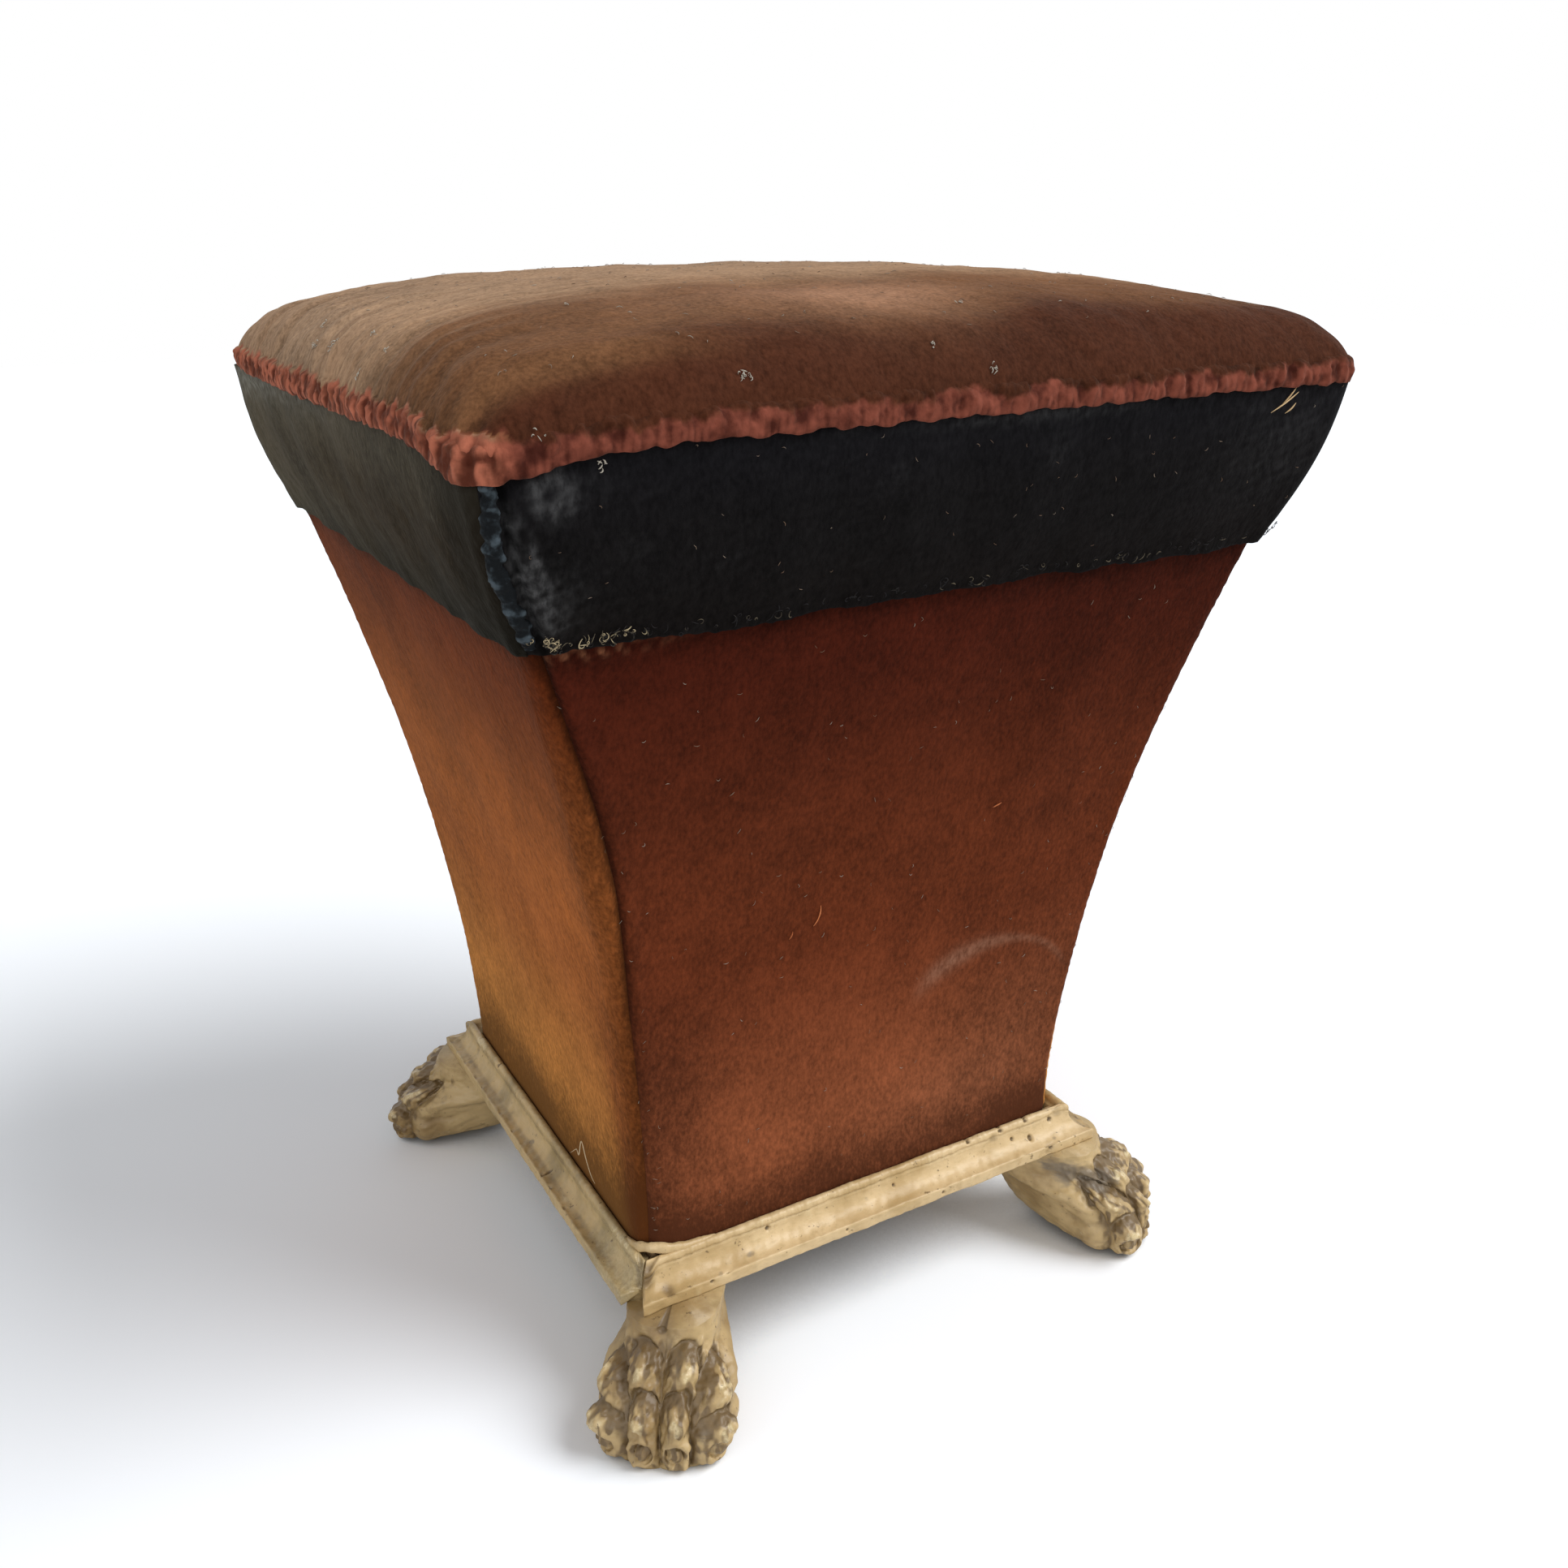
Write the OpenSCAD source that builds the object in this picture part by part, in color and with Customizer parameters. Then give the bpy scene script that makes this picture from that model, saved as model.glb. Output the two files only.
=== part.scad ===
// Upholstered piano stool on carved lion's-paw feet.
// A square frame of sawn timber flares out in a hollow curve from a small moulded plinth to a wide
// seat. Velvet covers the sides, a dark band hides the seat frame, and the seat is a domed cushion.
// The stool stands on the XY plane, with the origin on the floor under its middle. Front is -Y.

/* [Body] */
// Width across the velvet just above the plinth
body_bottom_w = 235; // [200:0.2:270]
// Width across the body at the seam under the seat
body_top_w = 379; // [330:0.2:420]
// Height of the body, from the top of the plinth to the seam under the seat
body_h = 367; // [310:1:400]
// How late the sides flare out; 1 is a straight slope
flare_power = 1.78; // [1.4:0.01:2.6]
// Radius of the body's upright corners
body_corner_r = 12; // [8:0.5:18]
// Thickness of the velvet on the sides
cover_t = 2; // [1:0.25:3]
// How far up under the band the side velvet is nailed
cover_lap = 4; // [3:0.5:10]

/* [Plinth] */
// Height of the plinth's underside above the floor
plinth_z = 53; // [46:1:64]
// Height of the plinth moulding
moulding_h = 19; // [16:0.5:26]
// How far the moulding stands out past the velvet
moulding_proj = 14.4; // [11:0.2:18]
// Height of the flat fillet along the moulding's lower edge
moulding_fillet_h = 6; // [4:0.5:8]
// Radius of the bead along the moulding's upper edge
moulding_bead_r = 2.2; // [1.5:0.1:2.6]
// How deep the velvet is tucked behind the bead
tuck_d = 3; // [1:0.5:5]

/* [Feet] */
// Length of a foot, from its hock to its toe tips
foot_len = 94; // [86:1:102]
// Width of a foot across its toes
foot_w = 62; // [54:1:68]
// Depth of the carved grooves between the toes
toe_groove = 4.6; // [2:0.2:6]
// How far the knuckles swell
knuckle_swell = 2.2; // [0.5:0.1:3]
// Length of the claws
claw_len = 2.2; // [1:0.2:4]
// Radius of the dowel that holds a foot
foot_dowel_r = 6; // [5:0.5:6.5]
// How far a foot's dowel stands in from the faces of the frame
foot_dowel_in = 11; // [11:0.5:14]
// Distance from a foot's hock to its dowel, at the top of the foot
hock_to_dowel = 21; // [18:0.5:24]
// How far the near left foot is turned on its dowel, in degrees
front_left_turn = 9; // [0:1:20]
// How far the near left foot was set to one side of its dowel
front_left_shift = 9.5; // [0:0.5:11]

/* [Frame] */
// Height of the base rails
base_rail_h = 34; // [30:1:40]
// Width of the base rails, laid flat
base_rail_w = 38; // [32:1:46]
// Side of the square corner posts
post_w = 26; // [20:1:32]
// Thickness of the side boards
board_t = 9; // [6:0.5:12]
// Height of the seat rails
seat_rail_h = 64; // [50:1:70]
// Thickness of the seat rails along their lower edge
seat_rail_t = 22; // [18:1:26]
// Side of the blocks in the seat frame's corners
corner_block_w = 45; // [30:1:60]
// Height of those blocks
corner_block_h = 22; // [14:1:30]
// Radius of the dowels in the frame
frame_dowel_r = 4; // [3:0.5:5]
// Length of a frame dowel on each side of its joint
frame_dowel_l = 11; // [8:1:12]

/* [Seat] */
// Height of the cushion's rolled edge above the seam
seat_edge_h = 24; // [18:0.2:32]
// Rise of the cushion's crown above its rolled edge
seat_crown_h = 20.7; // [10:0.1:30]
// How far in from the seam the edge rolls over
seat_edge_r = 25.8; // [20:0.2:34]
// Radius of the cushion's corners along the seam
seat_corner_r = 16; // [13:0.5:22]
// How far the cushion overhangs the band
seat_overhang = 1.5; // [0:0.1:3]
// Thickness of the velvet on the seat
seat_cover_t = 2; // [1:0.25:3]
// Width of the gathered hem turned under the cushion
seat_hem_w = 4; // [3:0.25:5]
// Depth of the gathered pleats at the cushion's corners
pleat_d = 1.3; // [0:0.1:2]
// Width of a webbing strap
strap_w = 50; // [40:1:56]
// Number of webbing straps each way
strap_count = 4; // [2:1:4]
// Thickness of the webbing
strap_t = 1.5; // [1:0.25:2.5]
// Thickness of the hessian over the webbing
hessian_t = 1; // [0.5:0.25:2]

/* [Band] */
// Height of the dark band
band_h = 68; // [56:1:76]
// Thickness of the band
band_t = 2.5; // [1.5:0.25:3.5]
// How far the padding swells the band at half its height
band_bulge = 3.5; // [1:0.25:6]
// Thickness of the padding under the band along its upper edge
band_pad_t = 2.9; // [2:0.1:4]
// Radius of the band's corners
band_corner_r = 12; // [8:0.5:16]

/* [Hidden] */

// Clearance between pieces that lie against each other
fit_gap = 0.3;
// Overrun of every cut
cut = 1;
// Thickness of the dust cloth, and how far it stays inside the plinth
dust_t = 0.8;
dust_margin = 6;
// Facets of a dowel
$fn = 40;

// Colours
paint = [0.85, 0.76, 0.58];
pine = [0.78, 0.64, 0.43];
beech = [0.80, 0.66, 0.50];
velvet_brown = [0.36, 0.20, 0.12];
velvet_red = [0.40, 0.16, 0.10];
velvet_tan = [0.56, 0.32, 0.16];
velvet_black = [0.08, 0.08, 0.07];
jute = [0.70, 0.58, 0.40];
hair = [0.30, 0.24, 0.19];
cotton = [0.82, 0.79, 0.72];
dust_black = [0.16, 0.15, 0.14];

// Levels and half widths that the pieces share
bottom_half = body_bottom_w / 2;
top_half = body_top_w / 2;
plinth_top = plinth_z + moulding_h;
seam_z = plinth_top + body_h;
base_top = plinth_z + base_rail_h;
seat_frame_z = seam_z - seat_rail_h;
band_z = seam_z - band_h;
cover_top = band_z + cover_lap;
frame_half = bottom_half - cover_t - fit_gap;
moulding_half = bottom_half + moulding_proj;
rail_inset = band_t + band_pad_t + 2 * fit_gap;
seat_rail_inner = flare(seat_frame_z) - rail_inset - seat_rail_t;
dowel_axis = frame_half - foot_dowel_in;

// Number of steps up the flare and round half a corner
flare_steps = 18;
board_steps = 12;
rail_steps = 4;
corner_steps = 4;

// Half the body's width at height z
function flare(z) =
    bottom_half + (top_half - bottom_half) * pow(max(0, (z - plinth_top) / body_h), flare_power);

// Half the width of the timber under the side velvet, and of the seat rails, at height z
function timber(z) = flare(z) - cover_t - fit_gap;
function rail_out(z) = flare(z) - rail_inset;

// Half the band's width over its outer face: proud of the side velvet at its lower edge, swelled by
// its padding at half height, and level with the seam at its upper edge
function band_out(z) =
    let (share = (z - band_z) / band_h)
    flare(z) + (band_t + 2 * fit_gap) * (1 - share) + band_bulge * sin(180 * share);

// Evenly spaced heights
function levels(z0, z1, steps) = [for (i = [0 : steps]) z0 + (z1 - z0) * i / steps];

// Sides of a loft of m rings with n points each, as triangles; rings run anticlockwise and rise
function loft_sides(n, m) = [
    for (i = [0 : m - 2], j = [0 : n - 1])
        let (a = i * n + j, b = i * n + (j + 1) % n)
            each [[a, a + n, b + n], [a, b + n, b]]
];

// Loft closed by a fan at each end, from the two points that follow its rings
function fan_faces(n, m) = concat(
    loft_sides(n, m),
    [for (j = [0 : n - 1]) [m * n, j, (j + 1) % n]],
    [for (j = [0 : n - 1]) [m * n + 1, (m - 1) * n + (j + 1) % n, (m - 1) * n + j]]
);

// Loft of a bent strip, whose rings run out along one face and back along the other
function strip_faces(n, m) = concat(
    loft_sides(n, m),
    [for (j = [0 : n / 2 - 2]) each [[j, j + 1, n - 2 - j], [j, n - 2 - j, n - 1 - j]]],
    [
        for (j = [0 : n / 2 - 2])
            let (a = (m - 1) * n)
                each [[a + j, a + n - 2 - j, a + j + 1], [a + j, a + n - 1 - j, a + n - 2 - j]]
    ]
);

// One side of a rounded square in plan, facing -Y, from the middle of one corner to the next
function side_path(half, r) = concat(
    [for (k = [0 : corner_steps]) let (a = 225 + 45 * k / corner_steps)
        [-half + r + r * cos(a), -half + r + r * sin(a)]],
    [for (k = [0 : corner_steps]) let (a = 270 + 45 * k / corner_steps)
        [half - r + r * cos(a), -half + r + r * sin(a)]]
);

// Turns its children from the front to side k, counted anticlockwise: front, right, back, left
module on_side(k) {
    rotate([0, 0, 90 * k]) children();
}

// Fabric panel facing -Y that follows the given half widths at the given heights
module fabric_panel(zs, halves, r, t) {
    n = 4 * (corner_steps + 1);
    points = [
        for (i = [0 : len(zs) - 1])
            let (outer = side_path(halves[i], r), inner = side_path(halves[i] - t, r - t))
                each concat(
                    [for (p = outer) [p.x, p.y, zs[i]]],
                    [for (j = [len(inner) - 1 : -1 : 0]) [inner[j].x, inner[j].y, zs[i]]]
                )
    ];
    polyhedron(points, strip_faces(n, len(zs)));
}

// Flared board facing -Y: out and in are its faces' distances from the middle at each height, and
// ends is half its length there
module flared_board(zs, out, in, ends) {
    last = len(zs) - 1;
    span = 2 * max(ends) + cut;
    depth = max(out) + cut;
    intersection() {
        rotate([90, 0, 90])
            translate([0, 0, -span / 2])
                linear_extrude(span)
                    polygon(concat(
                        [for (i = [0 : last]) [-out[i], zs[i]]],
                        [for (i = [last : -1 : 0]) [-in[i], zs[i]]]
                    ));
        rotate([90, 0, 0])
            linear_extrude(depth)
                polygon(concat(
                    [for (i = [0 : last]) [ends[i], zs[i]]],
                    [for (i = [last : -1 : 0]) [-ends[i], zs[i]]]
                ));
    }
}

// Square with rounded corners, centred
module rounded_square(w, r) {
    square([w, w - 2 * r], center = true);
    square([w - 2 * r, w], center = true);
    for (x = [-1, 1], y = [-1, 1])
        translate([x * (w / 2 - r), y * (w / 2 - r)])
            circle(r);
}

// Paw foot: rings of the carved paw from its sole to its flat top. Each row of shares gives a
// ring's height, the places of its heel, its widest point and its toes along the foot, its width,
// the depth of its toe grooves and the swell of its knuckles.
paw_shares = [
    [0.000, 0.440, 0.75, 0.945, 0.64, 0.55, 0.0],
    [0.040, 0.420, 0.75, 0.965, 0.80, 0.80, 0.1],
    [0.085, 0.400, 0.75, 0.974, 0.90, 1.00, 0.2],
    [0.125, 0.275, 0.75, 0.978, 0.95, 1.00, 0.1],
    [0.200, 0.225, 0.74, 0.978, 1.00, 1.00, 0.0],
    [0.280, 0.190, 0.73, 0.970, 1.01, 1.00, 0.4],
    [0.370, 0.155, 0.71, 0.956, 1.00, 1.00, 1.0],
    [0.450, 0.130, 0.68, 0.936, 0.98, 1.00, 1.1],
    [0.530, 0.110, 0.65, 0.910, 0.92, 1.00, 0.1],
    [0.600, 0.095, 0.61, 0.882, 0.83, 0.95, -0.6],
    [0.670, 0.080, 0.57, 0.848, 0.73, 0.85, 0.2],
    [0.740, 0.065, 0.53, 0.806, 0.69, 0.75, 1.2],
    [0.810, 0.045, 0.49, 0.758, 0.68, 0.60, 1.1],
    [0.870, 0.030, 0.45, 0.712, 0.68, 0.40, 0.0],
    [0.930, 0.015, 0.40, 0.678, 0.68, 0.15, -0.3],
    [1.000, 0.000, 0.34, 0.655, 0.69, 0.00, 0.0]
];
// Angle between the toes as seen from above, points on a toe, points round the heel
toe_angle = 37;
toe_steps = 8;
heel_steps = 16;
// Bluntness of the paw's outline at its toes, at its heel and up its shank, shares of its height
// between which the heel turns into the shank, sharpness of its grooves, and where the claws grow
toe_power = 2.9;
heel_power = 1.6;
shank_power = 3.4;
heel_top_share = 0.50;
shank_foot_share = 0.85;
groove_power = 0.6;
claw_height_share = 0.19;
claw_spread_share = 0.06;
claw_angle = 6.5;

// Angles of the points of a ring: close together over the four toes, and wider round the heel
paw_angles = concat(
    [for (j = [-2 * toe_steps : 2 * toe_steps]) toe_angle * j / toe_steps],
    [for (j = [1 : heel_steps - 1]) 2 * toe_angle + (360 - 4 * toe_angle) * j / heel_steps]
);

// 0 in a groove and 1 on the ridge of a toe
function toe_ridge(a) = abs(a) > 2 * toe_angle ? 1 : pow(abs(sin(180 * a / toe_angle)), groove_power);

// Swell of the nearest claw, from 0 to 1, at an angle and a share of the foot's height
function claw_swell(a, h_share) = abs(a) > 2 * toe_angle ? 0 :
    let (off = (abs(abs(a) - toe_angle) - toe_angle / 2) / claw_angle,
        rise = (h_share - claw_height_share) / claw_spread_share)
    exp(-off * off - rise * rise);

// Bluntness of the outline behind the toes at a share of the foot's height
function back_power(h_share) =
    let (up = min(1, max(0, (h_share - heel_top_share) / (shank_foot_share - heel_top_share))))
    heel_power + (shank_power - heel_power) * up * up * (3 - 2 * up);

// Distance of the paw's surface from the middle of its ring
function paw_radius(a, ring) =
    let (front = foot_len * (ring[3] - ring[2]), back = foot_len * (ring[2] - ring[1]),
        half = foot_w / 2 * ring[4], length = cos(a) > 0 ? front : back,
        power = cos(a) > 0 ? toe_power : back_power(ring[0]))
    pow(pow(abs(cos(a)) / length, power) + pow(abs(sin(a)) / half, power), -1 / power)
        - toe_groove * ring[5] * (1 - toe_ridge(a))
        + (abs(a) > 2 * toe_angle ? 0 : knuckle_swell * ring[6] * toe_ridge(a))
        + claw_len * claw_swell(a, ring[0]);

// Length of a foot's dowel on each side of the joint
foot_dowel_l = 12;

// One foot, standing with its dowel on the Z axis and its toes towards +X, and set to one side of
// the dowel by shift
module paw(shift) {
    rings = [
        for (ring = paw_shares, a = paw_angles)
            let (r = paw_radius(a, ring))
                [
                    foot_len * ring[2] - hock_to_dowel + r * cos(a),
                    shift + r * sin(a),
                    plinth_z * ring[0]
                ]
    ];
    ends = [
        for (ring = [paw_shares[0], paw_shares[len(paw_shares) - 1]])
            [foot_len * ring[2] - hock_to_dowel, shift, plinth_z * ring[0]]
    ];
    difference() {
        polyhedron(concat(rings, ends), fan_faces(len(paw_angles), len(paw_shares)));
        translate([0, 0, plinth_z - foot_dowel_l - fit_gap])
            cylinder(h = foot_dowel_l + fit_gap + cut, r = foot_dowel_r);
    }
}

// A foot under corner k, counted anticlockwise from the front left, turned on its dowel and shifted
module foot(k, turn = 0, shift = 0) {
    color(paint)
        rotate([0, 0, 90 * k - 135])
            translate([dowel_axis * sqrt(2), 0, 0])
                rotate([0, 0, turn])
                    paw(shift);
}

module foot_dowels() {
    color(beech)
        for (x = [-1, 1], y = [-1, 1])
            translate([x * dowel_axis, y * dowel_axis, plinth_z - foot_dowel_l])
                cylinder(h = 2 * foot_dowel_l, r = foot_dowel_r);
}

// Steps round the moulding's hollow and bead, and the small step between its fillet and its hollow
hollow_steps = 8;
bead_steps = 8;
quirk = 1.2;

// Moulding profile, as distance from the stool's middle and height: flat fillet, hollow, and bead
function moulding_profile() =
    let (
        bead_x = frame_half + cover_t + 2 * fit_gap + moulding_bead_r,
        bead_z = plinth_top - moulding_bead_r,
        hollow_z = plinth_z + moulding_fillet_h,
        hollow_w = moulding_half - quirk - bead_x - moulding_bead_r,
        hollow_h = bead_z - moulding_bead_r - hollow_z
    )
    concat(
        [[frame_half, plinth_z], [moulding_half, plinth_z], [moulding_half, hollow_z]],
        [for (k = [0 : hollow_steps]) let (a = 90 * k / hollow_steps)
            [moulding_half - quirk - hollow_w * sin(a), hollow_z + hollow_h * (1 - cos(a))]],
        [for (k = [0 : bead_steps]) let (a = -45 + 225 * k / bead_steps)
            [bead_x + moulding_bead_r * cos(a), bead_z + moulding_bead_r * sin(a)]],
        [
            [frame_half + cover_t + 2 * fit_gap, plinth_top - tuck_d],
            [frame_half, plinth_top - tuck_d]
        ]
    );

// One length of the plinth moulding, cut to a mitre at both ends
module plinth_moulding(k) {
    color(paint)
        on_side(k)
            intersection() {
                rotate([90, 0, -90])
                    translate([0, 0, -moulding_half])
                        linear_extrude(2 * moulding_half)
                            polygon(moulding_profile());
                translate([0, 0, plinth_z - cut])
                    linear_extrude(moulding_h + 2 * cut)
                        polygon([
                            [0, 0],
                            [-moulding_half - cut, -moulding_half - cut],
                            [moulding_half + cut, -moulding_half - cut]
                        ]);
            }
}

// Places of the two dowels beside each other at each end of a base rail
base_dowel_xs = [for (s = [1, 3]) frame_half - base_rail_w * s / 4];

module base_dowel_set() {
    for (side = [-1, 1], x = base_dowel_xs)
        translate([side * x, -frame_half + base_rail_w, plinth_z + base_rail_h / 2])
            rotate([90, 0, 0])
                cylinder(h = 2 * frame_dowel_l, r = frame_dowel_r, center = true);
}

// Front or back base rail: the full width, with rounded corners, dowel holes and foot sockets
module long_base_rail(k) {
    color(pine)
        on_side(k)
            difference() {
                translate([0, 0, plinth_z])
                    linear_extrude(base_rail_h)
                        intersection() {
                            rounded_square(2 * frame_half, body_corner_r - cover_t - fit_gap);
                            translate([-frame_half, -frame_half])
                                square([2 * frame_half, base_rail_w]);
                        }
                base_dowel_set();
                for (x = [-1, 1]) {
                    translate([x * dowel_axis, -dowel_axis, plinth_z - cut])
                        cylinder(h = foot_dowel_l + fit_gap + cut, r = foot_dowel_r);
                    translate([x * post_axis(base_top), -post_axis(base_top), base_top - frame_dowel_l])
                        cylinder(h = frame_dowel_l + cut, r = frame_dowel_r);
                }
            }
}

// Left or right base rail, butted between the other two
module short_base_rail(k) {
    color(pine)
        difference() {
            on_side(k)
                translate([-frame_half + base_rail_w, -frame_half, plinth_z])
                    cube([2 * (frame_half - base_rail_w), base_rail_w, base_rail_h]);
            base_dowel_set();
            on_side(2) base_dowel_set();
        }
}

module base_frame_dowels() {
    color(beech) {
        base_dowel_set();
        on_side(2) base_dowel_set();
    }
}

// Distance of a corner post's axis from each of the stool's middle planes at height z
function post_axis(z) = timber(z) - post_w / 2;

// Corner post in the front left corner: a square stick sawn to the flare, rounded on its outer edge
module corner_post(k) {
    zs = levels(base_top, seat_frame_z, flare_steps);
    r = body_corner_r - cover_t - fit_gap;
    section = function (half) concat(
        [[-half + post_w, -half + post_w], [-half, -half + post_w]],
        [for (j = [0 : corner_steps]) let (a = 180 + 90 * j / corner_steps)
            [-half + r + r * cos(a), -half + r + r * sin(a)]],
        [[-half + post_w, -half]]
    );
    n = corner_steps + 4;
    rings = [for (z = zs) each [for (p = section(timber(z))) [p.x, p.y, z]]];
    ends = [for (z = [base_top, seat_frame_z]) [-post_axis(z), -post_axis(z), z]];
    color(pine)
        on_side(k)
            difference() {
                polyhedron(concat(rings, ends), fan_faces(n, len(zs)));
                for (z = [base_top, seat_frame_z])
                    translate([-post_axis(z), -post_axis(z), z])
                        cylinder(h = 2 * frame_dowel_l, r = frame_dowel_r, center = true);
            }
}

module post_dowels() {
    color(beech)
        for (k = [0 : 3], z = [base_top, seat_frame_z])
            on_side(k)
                translate([-post_axis(z), -post_axis(z), z])
                    cylinder(h = 2 * frame_dowel_l, r = frame_dowel_r, center = true);
}

// Thin board bent to the flare between two corner posts
module side_board(k) {
    zs = levels(base_top, seat_frame_z, board_steps);
    color(pine)
        on_side(k)
            flared_board(
                zs,
                [for (z = zs) timber(z)],
                [for (z = zs) timber(z) - board_t],
                [for (z = zs) timber(z) - post_w - fit_gap]
            );
}

// Shares of a seat rail's height at which its dowels lie
seat_dowel_shares = [0.5, 0.8];
seat_dowel_zs = [for (s = seat_dowel_shares) seat_frame_z + seat_rail_h * s];

module seat_dowel_set() {
    for (side = [-1, 1], z = seat_dowel_zs)
        translate([side * (seat_rail_inner + seat_rail_t / 2), -seat_rail_inner, z])
            rotate([90, 0, 0])
                cylinder(h = 2 * frame_dowel_l, r = frame_dowel_r, center = true);
}

// Seat rail: its outer face follows the flare and its inner face is upright
module seat_rail(k, between) {
    zs = levels(seat_frame_z, seam_z, rail_steps);
    color(pine)
        difference() {
            on_side(k)
                flared_board(
                    zs,
                    [for (z = zs) rail_out(z)],
                    [for (z = zs) seat_rail_inner],
                    [for (z = zs) between ? seat_rail_inner : rail_out(z)]
                );
            seat_dowel_set();
            on_side(2) seat_dowel_set();
            for (x = [-1, 1], y = [-1, 1])
                translate([x * post_axis(seat_frame_z), y * post_axis(seat_frame_z), seat_frame_z - cut])
                    cylinder(h = frame_dowel_l + cut, r = frame_dowel_r);
        }
}

module seat_frame_dowels() {
    color(beech) {
        seat_dowel_set();
        on_side(2) seat_dowel_set();
    }
}

// Triangular blocks glued into the corners of the seat frame, level with its upper edge
module seat_corner_blocks() {
    color(pine)
        for (k = [0 : 3])
            on_side(k)
                translate([-seat_rail_inner, -seat_rail_inner, seam_z - corner_block_h])
                    linear_extrude(corner_block_h)
                        polygon([[0, 0], [corner_block_w, 0], [0, corner_block_w]]);
}

// Webbing straps, tacked side by side on the seat rails; the second layer crosses the first. They
// stop short of the rails' outer edge by a share of a rail's thickness.
strap_short_share = 0.25;
strap_half = rail_out(seam_z) - seat_rail_t * strap_short_share;
strap_pitch = 2 * seat_rail_inner / strap_count;

module straps(z) {
    color(jute)
        for (i = [0 : strap_count - 1])
            translate([-seat_rail_inner + strap_pitch * (i + 0.5) - strap_w / 2, -strap_half, z])
                cube([strap_w, 2 * strap_half, strap_t]);
}

module webbing_front_to_back() {
    straps(seam_z);
}

module webbing_side_to_side() {
    rotate([0, 0, 90]) straps(seam_z + strap_t);
}

// Hessian stretched over the webbing
hessian_z = seam_z + 2 * strap_t;
module base_hessian() {
    color(jute)
        translate([0, 0, hessian_z])
            linear_extrude(hessian_t)
                square(2 * strap_half, center = true);
}

// Cushion: rings of a rounded square that step in from the seam. Shares of the rolled edge, then
// shares of the way from there to the middle.
edge_shares = [0, 0.04, 0.16, 0.36, 0.64, 1];
crown_shares = [0.12, 0.28, 0.48, 0.70, 0.88];
inner_edge_shares = [0.06, 0.25, 0.6, 1];
inner_crown_shares = [0.28, 0.62];
seat_half = top_half + seat_overhang;
// Points along a side of a ring and round its corner, and how flat the crown is
seat_side_steps = 6;
seat_corner_steps = 8;
seat_ring_n = 4 * (seat_side_steps + seat_corner_steps);
crown_power = 3.6;

// Ring with the given half width and corner radius, where bend swells every other point of a corner
// into a pleat
function seat_ring(half, r, bend) = [
    for (k = [0 : 3])
        each concat(
            [for (j = [0 : seat_corner_steps - 1])
                let (a = 180 + 90 * j / seat_corner_steps, out = r + (j % 2 == 1 ? bend : 0))
                    turned([-half + r + out * cos(a), -half + r + out * sin(a)], 90 * k)],
            [for (j = [0 : seat_side_steps - 1])
                turned([-half + r + 2 * (half - r) * j / seat_side_steps, -half], 90 * k)]
        )
];
function turned(p, a) = [p.x * cos(a) - p.y * sin(a), p.x * sin(a) + p.y * cos(a)];

// Height of the cushion at a point of a ring, a share of the way over the rolled edge, and a depth
// below the outer face of the velvet
function seat_z(p, share, depth) =
    let (lean = 1 - share, w = seat_half - depth)
    seam_z + (seat_edge_h - depth) * sqrt(1 - lean * lean)
        + seat_crown_h * (1 - pow(min(1, abs(p.x) / w), crown_power))
            * (1 - pow(min(1, abs(p.y) / w), crown_power));

// Ring of the cushion over its edge, and ring of its crown
function edge_ring(share, depth, bend) =
    let (half = seat_half - depth - seat_edge_r * share,
        r = max(seat_corner_r - depth, half * seat_corner_r / seat_half))
    [for (p = seat_ring(half, r, bend * (1 - share))) [p.x, p.y, seat_z(p, share, depth)]];
function crown_ring(share, depth) =
    let (half = (seat_half - depth - seat_edge_r) * (1 - share))
    [for (p = seat_ring(half, half * seat_corner_r / seat_half, 0)) [p.x, p.y, seat_z(p, 1, depth)]];
function seat_rings(edges, crowns, depth, bend) = concat(
    [for (s = edges) each edge_ring(s, depth, bend)],
    [for (s = crowns) each crown_ring(s, depth)]
);

// Closed dome over the given rings, from a flat foot at height z
module seat_dome(edges, crowns, depth, bend, z, foot_depth) {
    foot = [for (p = seat_ring(seat_half - foot_depth, seat_corner_r - foot_depth, bend)) [p.x, p.y, z]];
    rings = concat(foot, seat_rings(edges, crowns, depth, bend));
    ends = [[0, 0, z], [0, 0, seat_z([0, 0], 1, depth)]];
    polyhedron(concat(rings, ends), fan_faces(seat_ring_n, len(edges) + len(crowns) + 1));
}

// Horsehair stuffing that fills the seat velvet
stuffing_z = hessian_z + hessian_t;
module seat_stuffing() {
    color(hair)
        seat_dome(inner_edge_shares, inner_crown_shares, seat_cover_t + fit_gap, 0, stuffing_z,
            seat_cover_t + fit_gap);
}

// Seat velvet: a shell over the stuffing, with pleats gathered into its corners and its hem
// turned under
module seat_cover() {
    color(velvet_brown)
        difference() {
            seat_dome([for (s = edge_shares) if (s > 0) s], crown_shares, 0, pleat_d, seam_z, 0);
            seat_dome(inner_edge_shares, inner_crown_shares, seat_cover_t, 0, seam_z - cut, seat_hem_w);
        }
}

// One side of the dark band
band_steps = 8;
module band(k) {
    zs = levels(band_z, seam_z, band_steps);
    color(velvet_black)
        on_side(k)
            fabric_panel(zs, [for (z = zs) band_out(z)], band_corner_r, band_t);
}

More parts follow.
